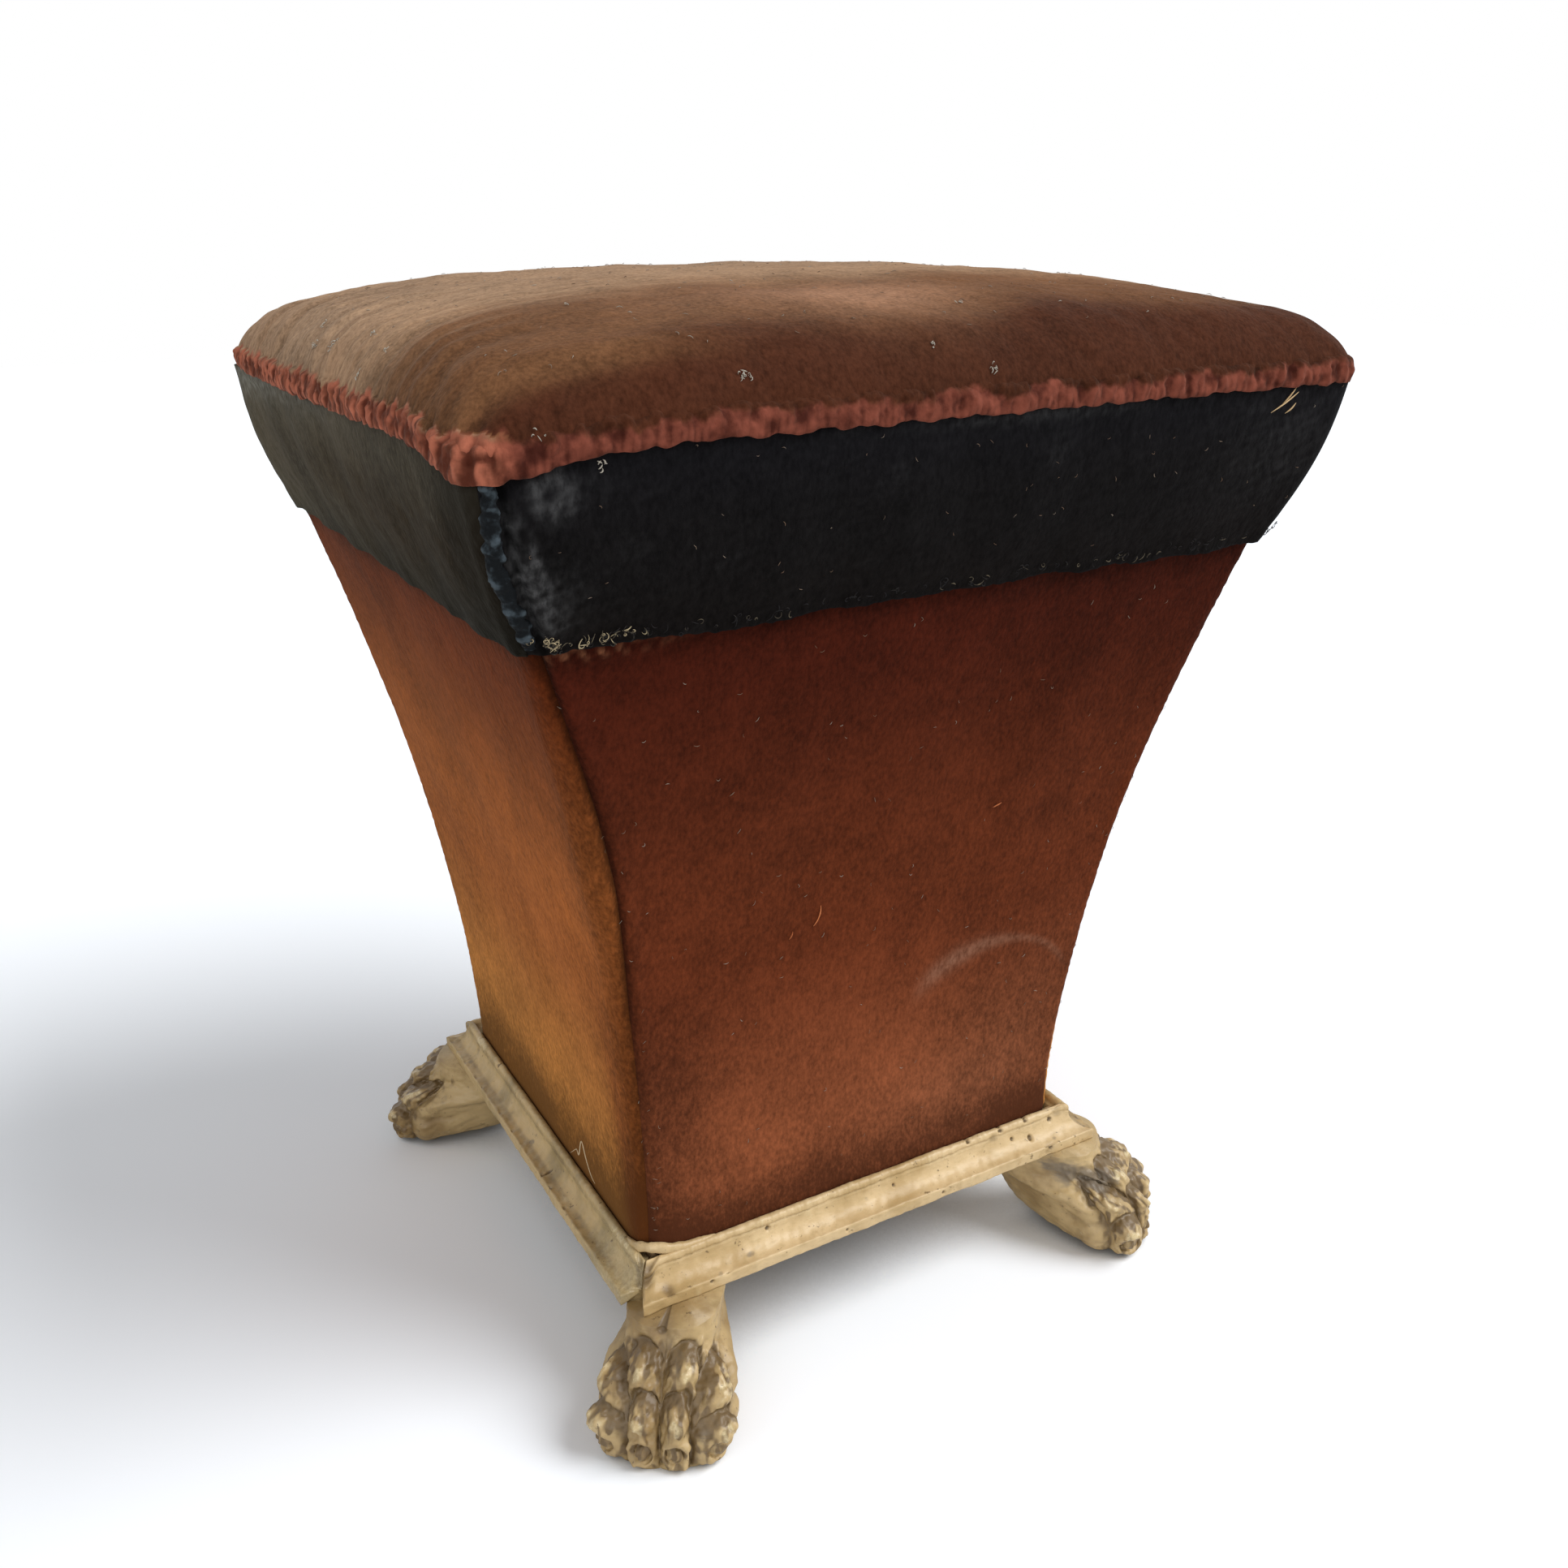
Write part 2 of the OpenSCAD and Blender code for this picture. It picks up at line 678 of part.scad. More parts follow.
// Cotton padding between the seat rails and the band
module band_padding() {
    zs = levels(max(cover_top, seat_frame_z) + fit_gap, seam_z - fit_gap, band_steps);
    color(cotton)
        for (k = [0 : 3])
            on_side(k)
                flared_board(
                    zs,
                    [for (z = zs) band_out(z) - band_t - fit_gap],
                    [for (z = zs) rail_out(z) + fit_gap],
                    [for (z = zs) band_out(z) - band_corner_r]
                );
}

// One side of the body's velvet, tucked behind the plinth's bead below and under the band above
module body_cover(k, shade) {
    zs = levels(plinth_top - tuck_d, cover_top, flare_steps);
    color(shade)
        on_side(k)
            fabric_panel(zs, [for (z = zs) flare(z)], body_corner_r, cover_t);
}

// Dust cloth under the base frame, cut off at the corners to clear the feet
module dust_cloth() {
    half = frame_half - dust_margin;
    clear = dowel_axis * sqrt(2) - hock_to_dowel - foot_w / 2;
    color(dust_black)
        translate([0, 0, plinth_z - dust_t])
            linear_extrude(dust_t)
                intersection() {
                    square(2 * half, center = true);
                    rotate([0, 0, 45]) square(2 * clear, center = true);
                }
}

foot(0, front_left_turn, front_left_shift);  // foot_front_left
foot(1);  // foot_front_right
foot(2);  // foot_back_right
foot(3);  // foot_back_left
foot_dowels();
plinth_moulding(0);  // plinth_moulding_front
plinth_moulding(1);  // plinth_moulding_right
plinth_moulding(2);  // plinth_moulding_back
plinth_moulding(3);  // plinth_moulding_left
long_base_rail(0);  // base_rail_front
short_base_rail(1);  // base_rail_right
long_base_rail(2);  // base_rail_back
short_base_rail(3);  // base_rail_left
base_frame_dowels();
corner_post(0);  // corner_post_front_left
corner_post(1);  // corner_post_front_right
corner_post(2);  // corner_post_back_right
corner_post(3);  // corner_post_back_left
post_dowels();
side_board(0);  // side_board_front
side_board(1);  // side_board_right
side_board(2);  // side_board_back
side_board(3);  // side_board_left
seat_rail(0, false);  // seat_rail_front
seat_rail(1, true);  // seat_rail_right
seat_rail(2, false);  // seat_rail_back
seat_rail(3, true);  // seat_rail_left
seat_frame_dowels();
seat_corner_blocks();
webbing_front_to_back();
webbing_side_to_side();
base_hessian();
seat_stuffing();
seat_cover();
band(0);  // band_front
band(1);  // band_right
band(2);  // band_back
band(3);  // band_left
band_padding();
body_cover(0, velvet_red);  // body_cover_front
body_cover(1, velvet_tan);  // body_cover_right
body_cover(2, velvet_red);  // body_cover_back
body_cover(3, velvet_tan);  // body_cover_left
dust_cloth();
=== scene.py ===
import math
import bpy
import numpy as np
from mathutils import Matrix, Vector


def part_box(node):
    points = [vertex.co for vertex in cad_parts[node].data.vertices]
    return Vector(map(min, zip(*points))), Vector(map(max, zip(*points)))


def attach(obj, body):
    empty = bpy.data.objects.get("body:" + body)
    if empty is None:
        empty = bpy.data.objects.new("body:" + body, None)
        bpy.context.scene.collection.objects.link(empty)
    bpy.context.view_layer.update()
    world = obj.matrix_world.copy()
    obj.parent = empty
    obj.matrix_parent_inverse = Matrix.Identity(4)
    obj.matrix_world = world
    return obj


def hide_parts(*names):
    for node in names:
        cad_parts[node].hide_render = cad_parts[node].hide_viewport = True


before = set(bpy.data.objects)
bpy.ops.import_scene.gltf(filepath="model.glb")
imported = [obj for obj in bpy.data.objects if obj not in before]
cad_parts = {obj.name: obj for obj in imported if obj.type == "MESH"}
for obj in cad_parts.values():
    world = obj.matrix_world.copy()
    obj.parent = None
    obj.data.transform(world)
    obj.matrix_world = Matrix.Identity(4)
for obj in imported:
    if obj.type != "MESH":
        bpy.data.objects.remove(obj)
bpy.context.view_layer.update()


# Base frame, corner posts, side boards and seat frame.
# Sawn softwood, doweled and glued, and left bare because velvet hides all of it. The dowels are
# beech. The pieces themselves come from the frame, and get their wood here.
CORNERS = ("front_left", "front_right", "back_right", "back_left")
SIDES = ("front", "right", "back", "left")
# Pale and dark tone of each wood, and how close its growth rings lie
PINE = ((0.62, 0.42, 0.22, 1), (0.38, 0.20, 0.08, 1), 26)
BEECH = ((0.60, 0.40, 0.24, 1), (0.44, 0.26, 0.14, 1), 90)
QUARTER = math.pi / 2


class Tree:
    """Node tree of a material or a group, with short calls for the nodes used here."""

    def __init__(self, tree):
        self.tree = tree

    def feed(self, value, socket):
        """Links a socket to an input, or sets the input to a plain value."""
        if isinstance(value, bpy.types.NodeSocket):
            self.tree.links.new(value, socket)
        else:
            socket.default_value = value

    def node(self, kind, inputs=None, **settings):
        """New shader node with its inputs fed and its settings set."""
        made = self.tree.nodes.new("ShaderNode" + kind)
        for key, value in settings.items():
            setattr(made, key, value)
        for socket, value in (inputs or {}).items():
            self.feed(value, made.inputs[socket])
        return made

    def math(self, operation, *values):
        return self.node("Math", dict(enumerate(values)), operation=operation).outputs[0]

    def plus(self, first, *rest):
        return self.math("ADD", first, self.plus(*rest)) if rest else first

    def times(self, value, factor):
        return self.math("MULTIPLY", value, factor)

    def centred(self, value, gain):
        """A noise that runs from 0 to 1, times the gain and moved to lie round 0."""
        return self.math("MULTIPLY_ADD", value, gain, -gain / 2)

    def ramp(self, value, low, high, start=0.0, end=1.0):
        """Smooth step from start at low to end at high."""
        return self.node("MapRange", {0: value, 1: low, 2: high, 3: start, 4: end},
                         interpolation_type="SMOOTHSTEP").outputs[0]

    def mix(self, share, low, high, kind="MIX"):
        """Mix of two colours by a share."""
        return self.node("Mix", {0: share, 6: low, 7: high}, data_type="RGBA", blend_type=kind).outputs[2]

    def grey(self, value):
        return self.node("CombineColor", {"Red": value, "Green": value, "Blue": value}).outputs[0]

    def stretch(self, vector, factors):
        """The vector times one factor for each axis."""
        return self.node("VectorMath", {0: vector, 1: factors}, operation="MULTIPLY").outputs[0]

    def noise(self, vector, scale, detail=3.0, rough=0.55):
        return self.node("TexNoise", {"Vector": vector, "Scale": scale, "Detail": detail,
                                      "Roughness": rough}).outputs["Fac"]

    def wave(self, vector, scale, distortion, detail, detail_scale, **settings):
        return self.node("TexWave", {"Vector": vector, "Scale": scale, "Distortion": distortion,
                                     "Detail": detail, "Detail Scale": detail_scale},
                         **settings).outputs["Fac"]

    def place(self):
        """Object coordinates."""
        return self.node("TexCoord").outputs["Object"]

    def mark(self, name):
        """Numbers kept with a piece's points."""
        return self.node("Attribute", attribute_name=name).outputs["Fac"]

    def use(self, built, **inputs):
        """Puts in a node group with its own values."""
        return self.node("Group", inputs, node_tree=built.tree).outputs


class Material(Tree):
    """New material with a Principled shader, whose plain sockets take the given values."""

    def __init__(self, name, **sockets):
        self.made = bpy.data.materials.new(name)
        self.made.use_nodes = True
        super().__init__(self.made.node_tree)
        self.shader = self.tree.nodes["Principled BSDF"]
        for socket, value in sockets.items():
            self.shader.inputs[socket.replace("_", " ")].default_value = value

    def finish(self, colour, height=None, strength=0.0, distance=0.0, roughness=None):
        """Links the colour, the bump of a height and the roughness, and gives the material."""
        self.feed(colour, self.shader.inputs["Base Color"])
        if roughness is not None:
            self.feed(roughness, self.shader.inputs["Roughness"])
        if height is not None:
            bump = self.node("Bump", {"Height": height, "Strength": strength, "Distance": distance})
            self.feed(bump.outputs[0], self.shader.inputs["Normal"])
        return self.made


def group(name, inputs, outputs):
    """New node group: its tree, its inputs and its outputs by name. Both dicts give sockets' types."""
    tree = bpy.data.node_groups.new(name, "ShaderNodeTree")
    for way, sockets in (("INPUT", inputs), ("OUTPUT", outputs)):
        for label, kind in sockets.items():
            tree.interface.new_socket(label, in_out=way, socket_type="NodeSocket" + kind)
    return Tree(tree), tree.nodes.new("NodeGroupInput").outputs, tree.nodes.new("NodeGroupOutput").inputs


# Growth rings cut lengthwise: rings round the heart, stretched along the grain
grain, take, give = group("wood_grain", {"Vector": "Vector", "Rings": "Float", "Pale": "Color",
                                         "Dark": "Color"}, {"Color": "Color", "Height": "Float"})
waver = grain.node("TexNoise", {"Vector": take["Vector"], "Scale": 9.0, "Detail": 2.0}).outputs["Color"]
bent = grain.node("VectorMath", {0: take["Vector"], 1: grain.stretch(waver, (0.012,) * 3)},
                  operation="ADD").outputs[0]
rings = grain.wave(bent, take["Rings"], 2.0, 2.0, 1.4, wave_type="RINGS", rings_direction="X")
pores = grain.noise(grain.stretch(take["Vector"], (0.05, 1.0, 1.0)), 700.0)
grain.feed(grain.mix(grain.times(rings, grain.ramp(pores, 0.2, 0.8)), take["Pale"], take["Dark"]),
           give["Color"])
grain.feed(grain.math("MULTIPLY_ADD", rings, 0.3, pores), give["Height"])


def wood(name, along, pale, dark, ring):
    """Bare wood whose grain runs along the axis with that number, x 0, y 1 and z 2."""
    made = Material(name, Roughness=0.72)
    turn = [(0, 0, 0), (0, 0, QUARTER), (0, QUARTER, 0)][along]
    laid = made.node("Mapping", {"Vector": made.place(), "Rotation": turn}).outputs[0]
    sawn = made.use(grain, Vector=laid, Rings=ring, Pale=pale, Dark=dark)
    return made.finish(sawn["Color"], sawn["Height"], 0.3, 0.0004)


def dress(name, made):
    """Gives a CAD node a material."""
    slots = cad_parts[name].data.materials
    slots.clear()
    slots.append(made)


pine = [wood("pine_along_" + axis, number, *PINE) for number, axis in enumerate("xyz")]
beech = [wood("beech_along_" + axis, number, *BEECH) for number, axis in enumerate("xyz")]
for number, side in enumerate(SIDES):
    dress("base_rail_" + side, pine[number % 2])
    dress("seat_rail_" + side, pine[number % 2])
    dress("side_board_" + side, pine[2])
for corner in CORNERS:
    dress("corner_post_" + corner, pine[2])
dress("seat_corner_blocks", pine[0])
for name, axis in (("base_frame", 1), ("seat_frame", 1), ("post", 2), ("foot", 2)):
    dress(name + "_dowels", beech[axis])


# Carved feet.
# Four lion's paws carved from blocks of beech, each glued on a dowel under a corner and painted
# cream with the plinth. The paint has worn off the knuckles and gone brown in the cuts.
FOOT_LEN = 0.094
FOOT_W = 0.062
FOOT_HOCK = 0.021
# How far a foot's dowel stands from the stool's middle, by its distance from two sides' middle lines
FOOT_AXIS = 0.1042 * math.sqrt(2)
FOOT_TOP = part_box("foot_front_left")[1].z
FRONT_LEFT_TURN = math.radians(9)
FRONT_LEFT_SHIFT = 0.0095
PAW_ROWS = 160
TOE_ANGLE = math.radians(44)
TOE_CENTRES = TOE_ANGLE * np.array([-1.5, -0.5, 0.5, 1.5])
TOE_COLUMNS = 240
HEEL_COLUMNS = 70
# Shares of the foot's height, then of its length for heel, widest point and toes, and of its
# half width, up a paw
PAW_LEVELS = [0, 0.04, 0.08, 0.12, 0.20, 0.28, 0.37, 0.45, 0.53, 0.60, 0.67, 0.74, 0.81, 0.87, 0.93, 1]
PAW_HEEL = [0.44, 0.42, 0.40, 0.275, 0.225, 0.19, 0.155, 0.13, 0.11, 0.095, 0.08, 0.065, 0.045, 0.03,
            0.015, 0]
PAW_WIDEST = [0.77, 0.77, 0.77, 0.77, 0.77, 0.77, 0.76, 0.74, 0.71, 0.66, 0.60, 0.54, 0.49, 0.45,
              0.40, 0.34]
PAW_TOES = [0.945, 0.965, 0.974, 0.978, 0.978, 0.970, 0.956, 0.936, 0.910, 0.882, 0.848, 0.806, 0.758,
            0.712, 0.678, 0.655]
PAW_WIDTH = [0.64, 0.80, 0.90, 0.95, 1.00, 1.01, 1.01, 1.00, 0.97, 0.91, 0.78, 0.68, 0.66, 0.67,
             0.68, 0.69]
# Bluntness of a ring's outline over the toes, and behind them low down and up the shank
TOE_POWER, HEEL_POWER, SHANK_POWER = 2.9, 1.22, 3.4
# Height shares of each toe's arched cut, knuckle, pinch, pad and claw: inner toes, then outer ones
INNER_TOE = (0.89, 0.765, 0.625, 0.46, 0.19)
OUTER_TOE = (0.77, 0.635, 0.50, 0.385, 0.20)
# How deep the carving goes: beside the inner toes, between them, and at joints, claws and pads
SIDE_CUT, MIDDLE_CUT = 0.0064, 0.0050
KNUCKLE, JOINT_CUT, STROKE = 0.0037, 0.0031, 0.00062
SOCKET, NAIL, SCORE, RIM = 0.0019, 0.0017, 0.0007, 0.0012
PAD, PAD_CUT, PAD_TOP = 0.0012, 0.0014, 0.0010
# Unevenness all over, coarse and fine, then that of the toes, which are left rough from the chisel
SHANK_ROUGH, TOES_ROUGH = (0.00022, 0.00009), (0.00042, 0.00020)
# The nail hole in the near foot: about where it is, its radius, its depth and the way it goes in
NAIL_HOLE, NAIL_R, NAIL_DEPTH, NAIL_IN = (-0.1130, -0.1290, 0.0500), 0.0017, 0.0016, (0.7, 0.7, 0)
PAINT_STAIN = (0.40, 0.29, 0.13, 1)
PAINT_GRIME = (0.120, 0.074, 0.030, 1)
PAINT_BARE = (0.165, 0.132, 0.094, 1)
# Rubbed paint on the high points, which also serves as a painted highlight there
PAINT_RUB_HIGHLIGHT = (0.70, 0.58, 0.34, 1)


def ripple(points, length, seed, waves=14):
    """Smooth unevenness of points: the sum of plane waves of about that length, each in its own
    direction and phase, scaled to lie mostly between -1 and 1."""
    draw = np.random.default_rng(seed)
    points = np.asarray(points, float)
    way = draw.normal(size=(points.shape[-1], waves))
    way *= 2 * math.pi / length * draw.uniform(0.7, 1.4, waves) / np.linalg.norm(way, axis=0)
    return np.sin(points @ way + draw.uniform(0, 2 * math.pi, waves)).sum(-1) / math.sqrt(waves)


def grid_of(x, y, z):
    """Points from their coordinates, which are spread over one another's shape."""
    return np.stack(np.broadcast_arrays(x, y, z), -1)


def hump(distance):
    """Bell curve: 1 at distance 0, falling to nearly 0 at 2."""
    return np.exp(-distance * distance)


def step(value, low, high):
    """Smooth step from 0 at low to 1 at high."""
    share = np.clip((value - low) / (high - low), 0, 1)
    return share * share * (3 - 2 * share)


def smooth_shares(levels, shares, at):
    """Shares between given levels: drawn straight, then averaged with their neighbours."""
    drawn = np.interp(at, levels, shares)
    width = max(3, len(at) // 22)
    padded = np.pad(drawn, width, mode="edge")
    return np.convolve(padded, np.hanning(2 * width + 3)[1:-1] / (width + 1), mode="same")[width:-width]


def unit(vectors):
    """Vectors at length 1."""
    return vectors / (np.linalg.norm(vectors, axis=-1, keepdims=True) + 1e-12)


def swell(grid, amount, wrap):
    """Moves the points of a grid along the surface's normal, which is the cross product of the
    steps along its rows and up its columns."""
    along = np.roll(grid, -1, 1) - np.roll(grid, 1, 1) if wrap else np.gradient(grid, axis=1)
    return grid + unit(np.cross(along, np.gradient(grid, axis=0))) * np.asarray(amount)[..., None]


def mesh_piece(name, points, corners, sizes):
    """Smooth mesh from its points, the corners of all faces in a row, and each face's number of
    corners."""
    mesh = bpy.data.meshes.new(name)
    mesh.vertices.add(len(points))
    mesh.vertices.foreach_set("co", points.astype(np.float32).ravel())
    mesh.loops.add(len(corners))
    mesh.loops.foreach_set("vertex_index", corners.astype(np.int32))
    mesh.polygons.add(len(sizes))
    mesh.polygons.foreach_set("loop_start", (np.cumsum(sizes) - sizes).astype(np.int32))
    mesh.polygons.foreach_set("loop_total", sizes.astype(np.int32))
    mesh.polygons.foreach_set("use_smooth", np.ones(len(sizes), bool))
    mesh.update(calc_edges=True)
    made = bpy.data.objects.new(name, mesh)
    bpy.context.scene.collection.objects.link(made)
    return made


def squares(index):
    """Corners of the squares between neighbouring rows and columns of point numbers."""
    return np.stack([index[:-1, :-1], index[:-1, 1:], index[1:, 1:], index[1:, :-1]], -1).reshape(-1, 4)


def skin(name, grid, wrap=False, ends=(None, None)):
    """Mesh of squares over a grid of points, row by row. wrap joins each row into a ring, and
    ends are the points that close the first and the last ring."""
    rows, columns = grid.shape[:2]
    index = np.arange(rows * columns).reshape(rows, columns)
    walls = squares(np.concatenate([index, index[:, :1]], 1) if wrap else index)
    points, corners, sizes = [grid.reshape(-1, 3)], [walls.ravel()], [np.full(len(walls), 4)]
    for ring, after, end in ((np.roll(index[0], -1), index[0], ends[0]),
                             (index[-1], np.roll(index[-1], -1), ends[1])):
        if end is not None:
            middle = np.full(columns, sum(map(len, points)))
            corners.append(np.stack([ring, after, middle], -1).ravel())
            sizes.append(np.full(columns, 3))
            points.append(np.asarray(end, float).reshape(1, 3))
    return mesh_piece(name, *map(np.concatenate, (points, corners, sizes)))


def mark(piece, **marks):
    """Keeps numbers of a piece's points for its material. Closing points take the mean."""
    for name, values in marks.items():
        values = np.asarray(values, np.float32).ravel()
        spare = len(piece.data.vertices) - len(values)
        values = np.concatenate([values, np.full(spare, values.mean(), np.float32)])
        piece.data.attributes.new(name, "FLOAT", "POINT").data.foreach_set("value", values)


def fit_out(piece, made, slot, *nodes):
    """Finishes a piece: its material, its body and the CAD nodes it stands for, if any. slot is not used.
    """
    piece.data.materials.append(made)
    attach(piece, "root")
    if nodes:
        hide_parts(*nodes)


def turned(grid, angle):
    """The grid turned about the vertical axis."""
    x, y, z = np.moveaxis(grid, -1, 0)
    c, s = math.cos(angle), math.sin(angle)
    return grid_of(x * c - y * s, x * s + y * c, z)


def paw_relief(angle, level, seed):
    """Carving of a paw as height above its blocked-out form, in metres, how hollow it is, and where
    its paint is worn through to grey. Four toes lie between deep cuts; each has two joints, and a
    claw that lies in a rimmed socket. All are bell curves of the angle from the toe's middle and of
    the height share."""
    front = np.abs(angle) < 2 * TOE_ANGLE
    ridge = np.where(front, np.abs(np.sin(math.pi * angle / TOE_ANGLE)),
                     step(np.abs(angle), 2 * TOE_ANGLE, 2.45 * TOE_ANGLE))
    middle = np.abs(angle) < TOE_ANGLE / 2
    outer = np.abs(angle) > 1.5 * TOE_ANGLE
    ridge = ridge ** np.where(middle, 0.85, 0.60)
    depth = SIDE_CUT * step(level, 0.92, 0.66) * step(level, -0.03, 0.06)
    depth = np.where(middle, MIDDLE_CUT * step(level, 1.0, 0.80) * step(level, -0.03, 0.06), depth)
    depth = np.where(outer, 0.55 * depth * step(level, 0.80, 0.60), depth)
    relief = -depth * (1 - ridge)
    hollow = (1 - ridge) ** 1.3 * depth / 0.0052 * np.where(middle, 0.7, 1.2)
    grey = 0 * relief
    draw = np.random.default_rng(seed)
    for centre, levels in zip(TOE_CENTRES, (OUTER_TOE, INNER_TOE, INNER_TOE, OUTER_TOE)):
        arch_at, knuckle_at, pinch_at, pad_at, claw_at = levels + draw.uniform(-0.015, 0.015, 5)
        tilt = draw.uniform(-0.12, 0.12)
        off = (angle - centre) / (TOE_ANGLE / 2) + tilt * (level - 0.5)
        inside = step(np.abs(off), 1.02, 0.72)
        for joint_at, rise_at, deep in ((arch_at, knuckle_at, 1.0), (pinch_at, pad_at, 0.95)):
            # An arched cut with the raised knuckle below it, and chisel strokes down the knuckle
            cut = hump((level - joint_at + 0.13 * off ** 2) / 0.036) * inside
            shade = hump((level - joint_at + 0.016 + 0.12 * off ** 2) / 0.044) * inside
            knuckle = hump(off / 0.64) * hump((level - rise_at) / 0.080)
            bent = 0.16 * np.sin(17 * level + draw.uniform(0, 6)) + draw.uniform(0, 1)
            strokes = np.cos(2 * math.pi * (off * 1.75 + bent)) * inside
            strokes = strokes * hump((level - rise_at - 0.035) / 0.085)
            relief = relief + KNUCKLE * knuckle - JOINT_CUT * deep * cut + STROKE * strokes
            hollow = hollow + 1.15 * deep * shade + 0.80 * np.clip(-strokes, 0, 1)
            side = draw.choice([-1, 1]) * draw.uniform(0.35, 0.75)
            grey = grey + hump((off - side) / 0.20) * hump((level - rise_at - 0.01) / 0.060) * inside
        claw = np.sqrt((off / 0.60) ** 2 + ((level - claw_at) / 0.105) ** 2)
        nail = np.clip(1 - (claw / 0.74) ** 2, 0, 1) ** 0.6
        rim = hump((claw - 1.28) / 0.24) * step(level, 0.02, 0.08)
        scored = 0.5 + 0.5 * np.cos(2 * math.pi * (2.6 * off + 0.35 * np.sin(30 * level + seed)))
        relief = relief - SOCKET * step(claw, 1.05, 0.80) + (NAIL + SCORE * scored) * nail + RIM * rim
        hollow = hollow + 1.15 * hump((claw - 0.90) / 0.17) * step(level - claw_at, -0.07, 0.02)
        hollow = hollow + (0.62 + 0.55 * (1 - scored)) * nail - 0.45 * rim
    return relief, np.clip(hollow, -0.3, 1.3), np.clip(grey, 0, 1)


def carved_foot(number, turn, shift, seed, made):
    """One paw: rings of a blunt oval whose length, width and middle follow the shares up the foot,
    raised and cut by the carving, and turned into place under its corner."""
    level = np.linspace(0, 1, PAW_ROWS) ** 1.1
    widest, toes, width = (smooth_shares(PAW_LEVELS, shares, level)[:, None]
                           for shares in (PAW_WIDEST, PAW_TOES, PAW_WIDTH))
    heel = np.interp(level, PAW_LEVELS, PAW_HEEL)[:, None]
    reach = 2.35 * TOE_ANGLE
    angle = np.concatenate([np.linspace(-reach, reach, TOE_COLUMNS),
                            np.linspace(reach, 2 * math.pi - reach, HEEL_COLUMNS + 2)[1:-1]])
    angle = np.where(angle > math.pi, angle - 2 * math.pi, angle)[None, :]
    level = level[:, None]
    ahead = np.cos(angle) > 0
    length = FOOT_LEN * np.where(ahead, toes - widest, widest - heel)
    behind_power = HEEL_POWER + (SHANK_POWER - HEEL_POWER) * step(level, 0.50, 0.85)
    power = TOE_POWER + (behind_power - TOE_POWER) * step(-np.cos(angle), -0.25, 0.55)
    radius = ((np.abs(np.cos(angle)) / length) ** power
              + (np.abs(np.sin(angle)) / (FOOT_W / 2 * width)) ** power) ** (-1 / power)
    relief, hollow, grey = paw_relief(angle, level, seed)
    # Behind the outer toes a shallow cut runs back over the long pad beside the sole
    behind = step(np.abs(angle), 1.9 * TOE_ANGLE, 2.4 * TOE_ANGLE) * step(np.abs(angle), 2.7, 2.3)
    over_pad = hump((level - 0.42 + 0.04 * np.cos(3 * angle)) / 0.05)
    relief = relief + behind * (PAD * hump((level - 0.24) / 0.14) - PAD_CUT * over_pad
                                + PAD_TOP * hump((level - 0.58) / 0.09))
    hollow = np.clip(hollow + 0.45 * behind * over_pad, 0, 1.3)
    radius = radius + relief
    grid = grid_of(FOOT_LEN * widest - FOOT_HOCK + radius * np.cos(angle),
                   shift + radius * np.sin(angle), FOOT_TOP * level)
    toed = step(np.abs(angle), 2.4 * TOE_ANGLE, 1.8 * TOE_ANGLE) * step(level, 0.96, 0.80)
    chisel = (SHANK_ROUGH[0] * ripple(grid * (1, 1, 2), 0.009, seed)
              + SHANK_ROUGH[1] * ripple(grid, 0.0035, seed + 1)
              + toed * (TOES_ROUGH[0] * ripple(grid * (1, 1, 0.7), 0.0060, seed + 8)
                        + TOES_ROUGH[1] * ripple(grid * (1, 1, 0.6), 0.0030, seed + 9)))
    grid = swell(grid, chisel * step(level, 0, 0.03) * step(level, 1, 0.99), True)
    grid[0, :, 2], grid[-1, :, 2] = 0, FOOT_TOP
    grid = turned(grid, turn) + np.array([FOOT_AXIS, 0, 0])
    grid = turned(grid, QUARTER * number - 0.75 * math.pi)
    # Brown size has stayed in blots between the knuckles, and the tops of the knuckles are rubbed pale,
    # which also paints a highlight on them
    blot = step(ripple(grid * (1, 1, 0.45), 0.0046, seed + 6), 0.0, 1.3) * toed
    hollow = hollow + 0.80 * blot
    rub_and_highlight = step(relief + 0.0012 * ripple(grid * (1, 1, 0.5), 0.0036, seed + 2), 0.0023, 0.0046)
    bare = 0.50 * grey + 0.5 * step(ripple(grid, 0.013, seed + 3), 1.0, 2.2) * step(level, 0.2, 0.3)
    if number == 0:
        # A nail hole at the top of the near foot, with a stain round it
        far = np.linalg.norm(grid - np.array(NAIL_HOLE), axis=-1)
        far = np.linalg.norm(grid - grid.reshape(-1, 3)[far.argmin()], axis=-1)
        grid = grid + (NAIL_DEPTH * np.exp(-(far / NAIL_R) ** 4))[..., None] * np.array(NAIL_IN)
        hollow = hollow + 1.6 * np.exp(-(far / (NAIL_R + 0.0002)) ** 4) + 0.5 * hump(far / 0.010)
    if number == 1:
        # Paint is rubbed grey over the instep of the foot at the front right
        instep = hump((angle + 1.25) / 0.70) * hump((level - 0.80) / 0.18)
        bare = bare + 1.3 * instep * step(ripple(grid, 0.014, seed + 4), -1.3, 0.5)
        hollow = hollow + 0.6 * instep * step(ripple(grid, 0.011, seed + 5), 0.0, 1.4)
    name = "foot_" + CORNERS[number]
    foot = skin(name, grid, wrap=True, ends=[grid[row].mean(0) for row in (0, -1)])
    mark(foot, hollow=np.clip(hollow, 0, 1.3), rub_and_highlight=rub_and_highlight, bare=np.clip(bare, 0, 1))
    fit_out(foot, made, "painted_wood", name)
